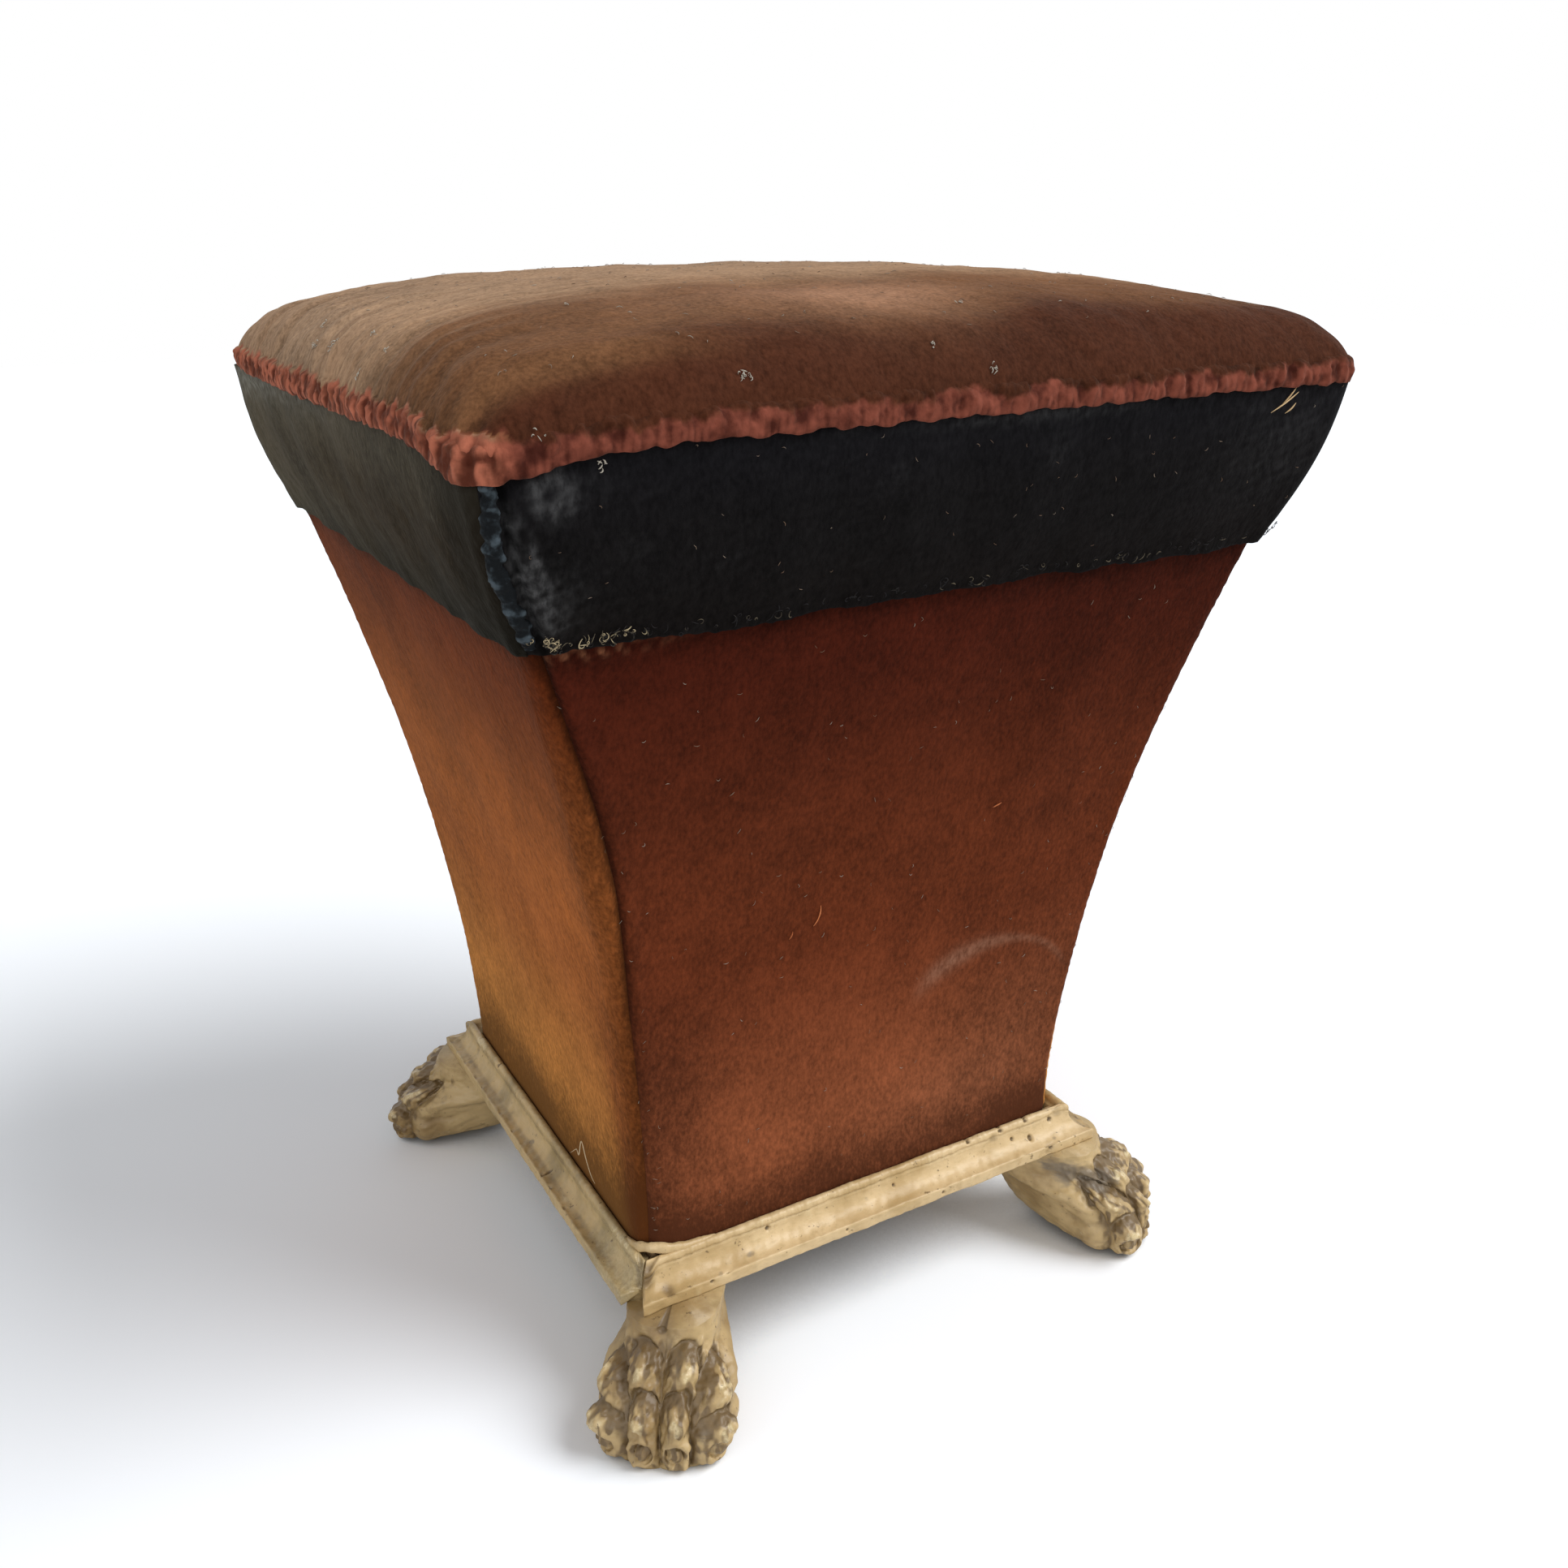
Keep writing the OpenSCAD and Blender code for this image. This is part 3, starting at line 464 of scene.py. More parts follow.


# Old paint: stained in clouds, brown in the cuts, grey where it is worn through, paler on rubbed high
# points with a painted highlight there, and speckled
paint, take, give = group(
    "old_paint", {"Vector": "Vector", "Hollow": "Float", "Rub": "Float", "Bare": "Float",
                  "Pale": "Color", "Stain": "Color"},
    {"Color": "Color", "Roughness": "Float", "Height": "Float"})
clouds = paint.noise(take["Vector"], 26.0, 4.0, 0.6)
blots = paint.noise(take["Vector"], 95.0, 4.0, 0.65)
grit = paint.noise(take["Vector"], 620.0, 3.0, 0.6)
streaks = paint.noise(paint.stretch(take["Vector"], (1.0, 1.0, 3.2)), 210.0)
coat = paint.mix(paint.ramp(clouds, 0.42, 0.66), take["Pale"], take["Stain"])
coat = paint.mix(paint.times(paint.ramp(blots, 0.56, 0.72), 0.55), coat, take["Stain"])
coat = paint.mix(paint.times(paint.ramp(streaks, 0.50, 0.72), 0.35), coat, PAINT_STAIN)
cut = paint.plus(take["Hollow"], paint.centred(blots, 0.7))
coat = paint.mix(paint.ramp(cut, 0.22, 0.95, 0.0, 0.88), coat, PAINT_GRIME)
through = paint.plus(take["Bare"], paint.centred(streaks, 0.8))
coat = paint.mix(paint.ramp(through, 0.25, 1.0, 0.0, 0.85), coat, PAINT_BARE)
# High points are rubbed pale and carry a painted highlight
coat = paint.mix(paint.times(take["Rub"], paint.ramp(grit, 0.35, 0.65, 0.35, 0.9)), coat, PAINT_RUB_HIGHLIGHT)
# Specks: where a fine noise and a coarser one both run high
specks = paint.ramp(paint.plus(grit, paint.noise(take["Vector"], 240.0, 2.0)), 1.22, 1.34)
paint.feed(paint.mix(paint.times(specks, 0.75), coat, PAINT_GRIME), give["Color"])
dull = paint.math("MULTIPLY_ADD", blots, 0.25, 0.28)
paint.feed(paint.math("MULTIPLY_ADD", take["Rub"], -0.14, dull), give["Roughness"])
brushed = paint.math("MULTIPLY_ADD", streaks, 0.8, blots)
paint.feed(paint.math("MULTIPLY_ADD", grit, 0.6, brushed), give["Height"])


def old_paint(name, pale, stain):
    """Cream paint with the patina that the piece's marks ask for."""
    made = Material(name, Specular_IOR_Level=0.42)
    coat = made.use(paint, Vector=made.place(), Hollow=made.mark("hollow"), Rub=made.mark("rub_and_highlight"),
                    Bare=made.mark("bare"), Pale=pale, Stain=stain)
    return made.finish(coat["Color"], coat["Height"], 0.5, 0.0004, coat["Roughness"])


foot_paint = old_paint("cream_paint_feet", (0.48, 0.345, 0.165, 1), (0.27, 0.175, 0.070, 1))
for number, seed in enumerate((11, 23, 37, 51)):
    near = number == 0
    carved_foot(number, near * FRONT_LEFT_TURN, near * FRONT_LEFT_SHIFT, seed, foot_paint)


# Plinth moulding.
# Four lengths of softwood moulding with a fillet, a hollow and a bead, mitred and pinned to the base
# rails over the tucked velvet. Their cream paint is stained and chipped, and worm has been at them.
MOULDING_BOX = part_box("plinth_moulding_front")
MOULDING_OUT, MOULDING_IN = -MOULDING_BOX[0].y, -MOULDING_BOX[1].y
MOULDING_LOW, MOULDING_TOP = MOULDING_BOX[0].z, MOULDING_BOX[1].z
FILLET_H = 0.006
QUIRK = 0.0012
BEAD_R = 0.0022
BEAD_BACK = 0.0026
BEAD_OUT = MOULDING_IN + BEAD_BACK + BEAD_R
TUCK = 0.003
MOULDING_STATIONS = 460
# The near mitre: how far it has opened, how much of its outer tips is broken off, how far in that
# starts, and how many times as much of the left tip is lost
MITRE_OPEN, BROKEN_TIP, BROKEN_DEEP, LEFT_BROKEN = 0.0006, 0.0050, 0.012, 2.2
# Worm holes, then chips: side, place along it, height and radius
WORM_HOLES = [
    (0, -0.058, 0.0665, 0.0012), (0, 0.058, 0.0712, 0.0011), (0, 0.078, 0.0708, 0.0012),
    (0, 0.094, 0.0712, 0.0011), (0, 0.0955, 0.062, 0.0013), (0, -0.020, 0.0565, 0.0008),
    (0, 0.104, 0.057, 0.0010), (0, 0.012, 0.064, 0.0008), (0, -0.092, 0.0575, 0.0010),
    (0, 0.036, 0.0560, 0.0009), (0, 0.085, 0.0640, 0.0010), (0, 0.110, 0.0665, 0.0013),
    (3, -0.068, 0.0710, 0.0013), (3, 0.021, 0.0600, 0.0009), (3, 0.090, 0.0650, 0.0010),
    (1, -0.040, 0.0620, 0.0010), (1, 0.071, 0.0700, 0.0011), (2, 0.030, 0.0600, 0.0011)]
CHIPS = [
    (0, 0.073, 0.0690, 0.0034), (0, 0.115, 0.0710, 0.0045), (0, 0.102, 0.0555, 0.0036),
    (0, -0.112, 0.0590, 0.0030), (3, 0.118, 0.0705, 0.0040), (3, -0.100, 0.0640, 0.0026),
    (1, -0.090, 0.0700, 0.0035), (2, -0.060, 0.0690, 0.0040)]
DENT_MOST = 0.0018
CHIP_DEPTH = 0.0009
POCKET_DEPTH = 0.0042


def moulding_outline():
    """Outline of the moulding as distances from the stool's middle and heights: round the bead,
    down the hollow, which is a quarter of an ellipse, over the fillet, and back behind."""
    bead_z = MOULDING_TOP - BEAD_R
    turn = np.radians(np.linspace(180, -45, 22))
    bead = np.stack([BEAD_OUT + BEAD_R * np.cos(turn), bead_z + BEAD_R * np.sin(turn)], -1)
    fall = np.linspace(math.pi / 2, 0, 22)
    wide = MOULDING_OUT - QUIRK - BEAD_OUT - BEAD_R
    high = bead_z - BEAD_R - MOULDING_LOW - FILLET_H
    hollow = np.stack([MOULDING_OUT - QUIRK - wide * np.sin(fall),
                       MOULDING_LOW + FILLET_H + high * (1 - np.cos(fall))], -1)
    quirk = [[MOULDING_OUT - 0.0004, MOULDING_LOW + FILLET_H]]
    front = np.stack([np.full(9, MOULDING_OUT), np.linspace(MOULDING_LOW + FILLET_H - 0.0004,
                                                            MOULDING_LOW + 0.0005, 9)], -1)
    below = np.stack([np.linspace(MOULDING_OUT - 0.0005, MOULDING_IN, 7), np.full(7, MOULDING_LOW)], -1)
    back = [[MOULDING_IN, MOULDING_LOW + 0.008], [MOULDING_IN, MOULDING_TOP - TUCK],
            [MOULDING_IN + BEAD_BACK, MOULDING_TOP - TUCK]]
    return np.concatenate([bead, hollow, quirk, front, below, back])


def moulding(side, seed, made):
    """One length: the outline carried along the side from mitre to mitre, worn along its arrises,
    with worm holes and chips pushed in as bell-shaped dents."""
    outline = moulding_outline()
    share = np.linspace(-1, 1, MOULDING_STATIONS)[:, None]
    share = share - 0.03 * np.sin(math.pi * share)
    away, height = outline[None, :, 0], outline[None, :, 1]
    # At the near corner the mitre has opened and its outer tips are broken off
    broken = (LEFT_BROKEN if side == 3 else 1) * BROKEN_TIP
    short = MITRE_OPEN + broken * step(away, MOULDING_OUT - BROKEN_DEEP, MOULDING_OUT)
    reach = [away - (short if corner % 4 == 0 else 0.0001) for corner in (side, side + 1)]
    grid = grid_of(np.where(share < 0, share * reach[0], share * reach[1]), -away, height)
    outer = step(away, MOULDING_IN + 0.0022, MOULDING_IN + 0.0045)
    along = grid[..., 0]
    over_fillet = height - MOULDING_LOW - FILLET_H
    uneven = 0.00022 * ripple(grid * (1, 1, 1.6), 0.030, seed) + 0.00012 * ripple(grid, 0.006, seed + 1)
    bead = hump((height - MOULDING_TOP + BEAD_R) / 0.003) * outer
    knobs = 0.00010 * ripple(grid * (1, 1, 0.2), 0.0026, seed + 2) * bead
    arris = hump(over_fillet / 0.0012) * step(away, MOULDING_OUT - 0.003, MOULDING_OUT)
    chipped = arris * step(ripple(grid, 0.010, seed + 3), 0.5, 1.6)
    relief = outer * (uneven + knobs) - CHIP_DEPTH * chipped
    # The quirk and the cut under the bead hold dirt, more of it on the sides than at the front
    grimy = 0.55 if side % 2 else 0.22
    under_bead = hump((height - MOULDING_TOP + 2.1 * BEAD_R) / 0.0013)
    hollow = 0.5 * chipped + grimy * outer * (hump((over_fillet - 0.0005) / 0.0009) + under_bead)
    for places, depth, power, dirt in ((WORM_HOLES, 1.5, 4, 1.2), (CHIPS, 0.30, 2, 0.55)):
        for on, place, up, radius in places:
            if on == side:
                dent = np.exp(-(np.hypot(along - place, height - up) / radius) ** power) * outer
                relief = relief - dent * min(depth * radius, DENT_MOST)
                hollow = hollow + dirt * dent
    grid = swell(grid, relief, True)
    if side in (0, 3):
        # At the near corner the bead is lost, and a dark pocket is left between filler and mitre
        at_end = (along < 0) if side == 0 else (along > 0)
        pocket = step(away - np.abs(along), 0.0085, 0.0030) * at_end * outer
        pocket = pocket * hump((away - BEAD_OUT - 0.0015) / 0.0032)
        grid[..., 2] -= POCKET_DEPTH * pocket
        hollow = hollow + 0.8 * pocket
    grid = turned(grid, QUARTER * side)
    middle = np.array([[x * (MOULDING_IN + 0.007), -MOULDING_IN - 0.007, MOULDING_LOW + 0.006]
                       for x in (-1, 1)])
    piece = skin("plinth_" + SIDES[side], grid, wrap=True, ends=turned(middle, QUARTER * side))
    # Raised bits are paler, rubbed and with a painted highlight; the left length is also paler towards the
    # near corner
    paler = 0.40 * step(along, 0.060, 0.105) * (side == 3)
    mark(piece, hollow=np.clip(hollow, 0, 1) + 0 * along,
         rub_and_highlight=np.clip(step(relief, 0.0002, 0.0007) + paler, 0, 1),
         bare=0.75 * step(ripple(grid, 0.010, seed + 4), 1.3, 2.2) * outer)
    fit_out(piece, made, "painted_wood", "plinth_moulding_" + SIDES[side])


front_paint = old_paint("cream_paint_front", (0.62, 0.46, 0.25, 1), (0.45, 0.31, 0.14, 1))
# The sides' cream is a darker copy of the front's: partly painted shade, as on the left side that faces
# away from the lamp, and partly heavier stain
side_paint = old_paint("cream_paint_sides", (0.53, 0.38, 0.18, 1), (0.27, 0.195, 0.085, 1))
for number, seed in enumerate((61, 67, 71, 79)):
    moulding(number, seed, side_paint if number % 2 else front_paint)


# Side velvet.
# Four panels of cotton velvet drawn over the boards, tucked behind the plinth's bead and nailed
# under the band, and joined by hand down the corners. The pile has faded unevenly from side to side.
PLINTH_TOP = MOULDING_TOP
BODY_LOW_HALF, BODY_TOP_HALF = 0.1175, 0.1895
BODY_H = 0.367
FLARE_POWER = 1.78
# Radius of the body's corners, and how much rounder they are low down
BODY_CORNER_R, LOW_CORNER_MORE = 0.012, 0.0030
COVER_T = 0.0016
COVER_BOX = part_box("body_cover_front")
COVER_ROWS, COVER_COLUMNS = 150, 175
# Where the seam runs beside the near corner: heights, and how far round the corner it lies
SEAM_HEIGHTS = [0.069, 0.072, 0.086, 0.204, 0.265, 0.304, 0.340, 0.375]
SEAM_ASIDE = [-0.001, -0.001, -0.0005, 0.0034, 0.0079, 0.0070, 0.0040, 0.0019]
SEAM_DEPTH, SEAM_RIDGE, PUCKER = 0.0013, 0.0005, 0.00015
TUFT_Z, TUFT_OUT = 0.3690, 0.0011
# Mean colours of each panel low down, at half height and at the top; they darken upwards, which is painted
# shade under the band's overhang
FRONT_SHADES = ((0.235, 0.070, 0.028, 1), (0.114, 0.0255, 0.0085, 1), (0.050, 0.0078, 0.0032, 1))
LEFT_SHADES = ((0.50, 0.210, 0.050, 1), (0.305, 0.093, 0.022, 1), (0.098, 0.0190, 0.0042, 1))
VELVET_DUST = (0.36, 0.22, 0.15, 1)
# Dark places and rubbed ones on the front: how strong, the centre and how far each way
FRONT_DARK = [(0.22, (0.110, 0.105), (0.050, 0.055)), (0.30, (-0.103, 0.155), (0.022, 0.05))]
FRONT_RUBBED = [(0.28, (0.060, 0.098), (0.055, 0.026)), (0.12, (0.085, 0.130), (0.04, 0.04))]
# The pale smear in an arc on the front: its centre and its two radii
ARC_CENTRE, ARC_RADII = (0.061, 0.138), (0.056, 0.048)


def flare(height):
    """Half the body's width: a power curve from the plinth up to the seam under the seat."""
    share = np.clip((height - PLINTH_TOP) / BODY_H, 0, None)
    return BODY_LOW_HALF + (BODY_TOP_HALF - BODY_LOW_HALF) * share ** FLARE_POWER


def round_wall(along, half, radius):
    """Points of the front side of a rounded square at arc lengths from the middle of its left
    corner. Lengths past either end run on round the corner and along the next side."""
    eighth = radius * math.pi / 4
    first = np.clip(along / radius, -math.pi / 4, math.pi / 4)
    second = np.clip((along - eighth - 2 * (half - radius)) / radius, 0, math.pi / 2)
    flat = np.clip(along - eighth, 0, 2 * (half - radius))
    before = np.clip(-along - eighth, 0, None)
    after = np.clip(along - eighth - 2 * (half - radius) - 2 * eighth, 0, None)
    x = -half + radius + radius * np.cos(first - 0.75 * math.pi) + flat + radius * np.sin(second)
    y = (-half + radius + radius * np.sin(first - 0.75 * math.pi) + radius * (1 - np.cos(second))
         + before + after)
    return x, y


def seam_aside(height, corner):
    """How far round its corner the seam lies: as seen at the near corner, and wandering a
    millimetre either way at the others."""
    if corner % 4 == 0:
        return smooth_shares(SEAM_HEIGHTS, SEAM_ASIDE, height)
    return 0.001 * np.sin(height * (31 + 9 * corner) + corner)


def bell(x, y, centre, spread):
    """Two-way bell curve round a centre."""
    return np.exp(-((x - centre[0]) / spread[0]) ** 2 - ((y - centre[1]) / spread[1]) ** 2)


def patches(x, y, places):
    """Sum of bell curves, each with its strength, centre and spread."""
    return sum(amount * bell(x, y, centre, spread) for amount, centre, spread in places)


def spaced(count):
    """Shares from 0 to 1 that lie closer together near both ends, as columns of a grid."""
    share = np.linspace(0, 1, count)[None, :]
    return share - 0.085 * np.sin(2 * math.pi * share)


pile, take, give = group(
    "velvet", {"Vector": "Vector", "Low": "Color", "Middle": "Color", "High": "Color", "Rise": "Float",
               "Dark": "Float", "Worn": "Float", "Dust": "Float", "Worn Color": "Color",
               "Dust Color": "Color"},
    {"Color": "Color", "Roughness": "Float", "Height": "Float"})
nap_lie = pile.stretch(take["Vector"], (1.0, 1.0, 0.55))
nap = pile.noise(nap_lie, 620.0, 3.0, 0.6)
tufts = pile.noise(nap_lie, 210.0, 4.0, 0.6)
crush = pile.noise(take["Vector"], 48.0, 4.0, 0.6)
fade = pile.noise(take["Vector"], 11.0, 3.0, 0.5)
# The rise mark picks the tone from Low through Middle to High; on most pieces its gradients are painted
# shade and light
tone = pile.mix(pile.ramp(take["Rise"], 0.0, 0.5), take["Low"], take["Middle"])
tone = pile.mix(pile.ramp(take["Rise"], 0.5, 1.0), tone, take["High"])
tone = pile.mix(take["Worn"], tone, take["Worn Color"])
# Pile that lies one way or the other returns more light or less. The Dark mark lowers this share further,
# which paints shade
lie = pile.plus(pile.centred(nap, 1.0), pile.centred(tufts, 0.45), pile.centred(crush, 0.5),
                pile.centred(fade, 0.6))
lie = pile.math("SUBTRACT", lie, pile.times(take["Dark"], 0.55))
tone = pile.mix(1.0, tone, pile.grey(pile.ramp(lie, -0.75, 0.75, 0.30, 1.70)), "MULTIPLY")
dusty = pile.ramp(pile.plus(nap, pile.times(tufts, 0.8)), 0.60, 1.15, 0.30, 1.0)
pile.feed(pile.mix(pile.times(take["Dust"], dusty), tone, take["Dust Color"]), give["Color"])
pile.feed(pile.math("MULTIPLY_ADD", nap, -0.15, 0.92), give["Roughness"])
pile.feed(pile.math("MULTIPLY_ADD", tufts, 1.4, nap), give["Height"])


def laid_pile(made, shades, worn, dust):
    """The velvet group in a material, fed by the piece's own rise, dark, worn and dust."""
    marks = {name.title(): made.mark(name) for name in ("rise", "dark", "worn", "dust")}
    return made.use(pile, Vector=made.place(), Low=shades[0], Middle=shades[1], High=shades[2],
                    **marks, **{"Worn Color": worn, "Dust Color": dust})


def velvet_marks(piece, rise, dark, dust, worn, **more):
    """The marks that velvet reads, kept within their ranges."""
    mark(piece, rise=np.clip(rise, 0, 1), dark=np.clip(dark, 0, 1.5), dust=np.clip(dust, 0, 1),
         worn=np.clip(worn, 0, 1), **more)


def velvet(name, shades, worn, dust=VELVET_DUST, sheen=0.03, tint=(0.9, 0.55, 0.4, 1)):
    """Cotton velvet in the given shades."""
    made = Material(name, Specular_IOR_Level=0.04, Sheen_Weight=sheen, Sheen_Roughness=0.45,
                    Sheen_Tint=tint)
    laid = laid_pile(made, shades, worn, dust)
    return made.finish(laid["Color"], laid["Height"], 0.55, 0.0006, laid["Roughness"])


def thickened(piece, thickness):
    """Gives a cloth its thickness on the inner side, with its edges closed."""
    made = piece.modifiers.new("thickness", "SOLIDIFY")
    made.thickness, made.offset, made.use_even_offset = thickness, -1, False


def side_velvet(side, seed, made):
    """One panel: the flare followed from seam to seam, with broad slackness, a groove where the
    seam is drawn in, a ridge beside it and small puckers across the ridge."""
    low, top = COVER_BOX[0].z, COVER_BOX[1].z
    height = np.linspace(low, top, COVER_ROWS)[:, None]
    half = flare(height)
    corner_r = BODY_CORNER_R + LOW_CORNER_MORE * step(height, 0.150, 0.085)
    whole = 2 * (half - corner_r) + QUARTER * corner_r
    start = seam_aside(height[:, 0], side)[:, None]
    end = whole + seam_aside(height[:, 0], side + 1)[:, None]
    along = start + (end - start) * spaced(COVER_COLUMNS)
    x, y = round_wall(along, half, corner_r)
    grid = grid_of(x, y, height)
    near = np.minimum(along - start, end - along)
    # Towards the base the seam closes up, and is lost in the pile
    closed = 1 - 0.75 * step(height, 0.24, 0.14)
    slack = 0.0005 * ripple(grid, 0.085, seed) + 0.00009 * ripple(grid, 0.022, seed + 1)
    slack = slack * step(near, 0.0, 0.012) * step(height, 0.071, 0.085)
    wander = 2.5 * ripple(height * (1, 1, 1), 0.02, seed + 2)[:, None]
    grid = swell(grid, slack - SEAM_DEPTH * closed * hump(near / 0.0017)
                 + SEAM_RIDGE * hump((near - 0.0045) / 0.0026)
                 + PUCKER * np.sin(height / 0.0011 + wander) * hump((near - 0.004) / 0.004), False)
    # Rise follows height, so the panel darkens upwards: painted shade under the band. Dark marks the seam's
    # line and adds painted shade just under the band
    rise = (height - PLINTH_TOP) / (top - PLINTH_TOP) + 0 * x
    dark = 0.8 * closed * hump(near / 0.0019) + 0.5 * hump((height - top + 0.004) / 0.008)
    dust, worn = 0 * x, 0 * x
    if side == 0:
        # Painted shade on the front where it turns round the near corner and low down where it goes behind
        # the plinth's bead. It is also darker in patches and a little on the right
        by_seam = (0.42 + 0.25 * step(height, 0.20, 0.12)) * hump((x + half + 0.004) / 0.022)
        dark = dark + by_seam * step(height, 0.36, 0.30) + patches(x, height, FRONT_DARK)
        dark = dark + 1.05 * hump((height - 0.071) / 0.024) + 0.12 * step(x, 0.0, 0.08)
        # A pale smear in an arc, broad and soft at its left end, and rubbed velvet under it
        arc = np.hypot((x - ARC_CENTRE[0]) / ARC_RADII[0], (height - ARC_CENTRE[1]) / ARC_RADII[1])
        broad = step(x, 0.090, 0.040)
        arc = hump((arc - 1 + 0.03 * broad) / (0.030 + 0.075 * broad)) * step(height, 0.148, 0.168)
        dust = (0.24 + 0.10 * broad) * arc * step(x, 0.118, 0.100) * step(x, 0.016, 0.034)
        # Crushed tufts stick out under the band near the corner
        tufted = step(ripple(grid, 0.006, seed + 7), -0.4, 0.6) * step(x, -0.100, -0.150)
        worn = patches(x, height, FRONT_RUBBED) + 0.9 * tufted * hump((height - TUFT_Z) / 0.0022)
        grid = swell(grid, TUFT_OUT * tufted * hump((height - TUFT_Z) / 0.0025), False)
    if side == 3:
        # Painted shade on the left, deeper towards the near corner, where it turns, and low down where it
        # goes behind the plinth's bead
        rise = rise + 0.50 * hump((end - along) / 0.016) * step(height, 0.30, 0.12)
        dark = dark + (0.45 + 0.40 * step(height, 0.20, 0.12)) * hump((end - along) / 0.020)
        dark = dark + 1.35 * hump((height - 0.070) / 0.032)
    grid = turned(grid, QUARTER * side)
    surfaces["body_" + SIDES[side]] = grid
    piece = skin("side_velvet_" + SIDES[side], grid)
    velvet_marks(piece, rise, dark, dust, worn)
    thickened(piece, COVER_T)
    fit_out(piece, made, "side_velvet" if side % 2 else "front_velvet", "body_cover_" + SIDES[side])


# Grids of the visible cloths, on which threads and lint are laid later
surfaces = {}
red_velvet = velvet("velvet_red_brown", FRONT_SHADES, (0.26, 0.10, 0.05, 1))
tan_velvet = velvet("velvet_faded_tan", LEFT_SHADES, (0.40, 0.20, 0.07, 1), tint=(0.95, 0.7, 0.45, 1))
for number, seed in enumerate((103, 107, 109, 113)):
    side_velvet(number, seed, tan_velvet if number % 2 else red_velvet)


# Corner filler.
# The bead broke away at the near corner, and was made good with a lumpy roll of filler that follows
# the rounded velvet and is painted cream over its chips.
FILLER_START, FILLER_LEN = -0.017, 0.050
FILLER_R, FILLER_COLUMNS = 0.0022, 32
# How far the roll stands out from the velvet and lies below the plinth's top, how high it is heaped
# up in the corner, and the radius that it bends round
FILLER_OUT, FILLER_SINK, FILLER_HEAP, FILLER_BEND = 0.0016, 0.0012, 0.0034, 0.0155


def roll_ways(core, out, turns, flat, broad):
    """Ways from each point of a line to a ring of a roll round it: flat times the given way out, and
    broad times sideways."""
    turn = np.linspace(0, 2 * math.pi, turns + 1)[:-1, None]
    aside = np.cross(unit(np.gradient(core, axis=0)), out)
    return flat * np.cos(turn) * out[:, None] + broad * np.sin(turn) * aside[:, None]


def corner_filler():
    """The roll, thin at both ends and heaped up in the corner, with lumps from ripples."""
    share = np.linspace(0, 1, 110)
    along = FILLER_START + FILLER_LEN * share
    height = MOULDING_TOP - FILLER_SINK + FILLER_HEAP * hump((along - 0.002) / 0.011)
    core = grid_of(*round_wall(along, flare(height) + FILLER_OUT, FILLER_BEND), height)
    out = unit(np.cross(np.gradient(core, axis=0), (0, 0, 1)))
    ways = roll_ways(core, out, FILLER_COLUMNS, 1.0, 1.15)
    ways = ways * (np.sin(math.pi * share) ** 0.35)[:, None, None]
    grid = core[:, None] + FILLER_R * ways
    lumps = 0.00020 * ripple(grid, 0.0070, 171) + 0.00006 * ripple(grid, 0.0022, 173)
    piece = skin("corner_filler", grid + lumps[..., None] * ways, wrap=True, ends=(core[0], core[-1]))
    # Paler on the tops of the lumps, a painted highlight, and browner in the dips
    mark(piece, hollow=0.60 * step(-lumps, 0.0001, 0.0005), rub_and_highlight=0.5 * step(lumps, 0.0001, 0.0005),
         bare=0 * lumps)
    fit_out(piece, front_paint, "painted_wood")


corner_filler()


# Webbing and hessian.
# Jute straps laced over and under each other and tacked on the seat rails, with hessian stretched
# over them to carry the stuffing.
WEB_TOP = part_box("webbing_side_to_side")[1].z
WEB_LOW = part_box("webbing_front_to_back")[0].z
WEB_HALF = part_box("webbing_front_to_back")[1].y
STRAP_COUNT = 4
STRAP_W = 0.050
STRAP_T = 0.0014
STRAP_PITCH = (2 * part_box("webbing_front_to_back")[1].x - STRAP_W) / (STRAP_COUNT - 1)
JUTE_PALE = (0.45, 0.32, 0.17, 1)
JUTE_DARK = (0.22, 0.14, 0.065, 1)
HESSIAN_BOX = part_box("base_hessian")
HESSIAN_T, HESSIAN_RISE = 0.0009, 0.0002

weave, take, give = group("weave", {"Vector": "Vector", "Threads": "Float", "Pale": "Color",
                                    "Dark": "Color"}, {"Color": "Color", "Height": "Float"})
warp, weft = (weave.wave(take["Vector"], take["Threads"], 1.2, 2.0, 1.0, wave_type="BANDS",
                         bands_direction=way) for way in "XY")
slub = weave.noise(take["Vector"], 240.0)
woven = weave.times(weave.math("MAXIMUM", warp, weft), weave.math("MULTIPLY_ADD", slub, 0.6, 0.6))
weave.feed(weave.mix(woven, take["Dark"], take["Pale"]), give["Color"])
weave.feed(woven, give["Height"])


def woven_cloth(name, threads, pale, dark):
    """Plain woven cloth with that many radians of thread to the metre."""
    made = Material(name, Roughness=0.88)
    cloth = made.use(weave, Vector=made.place(), Threads=threads, Pale=pale, Dark=dark)
    return made.finish(cloth["Color"], cloth["Height"], 0.6, 0.0005)


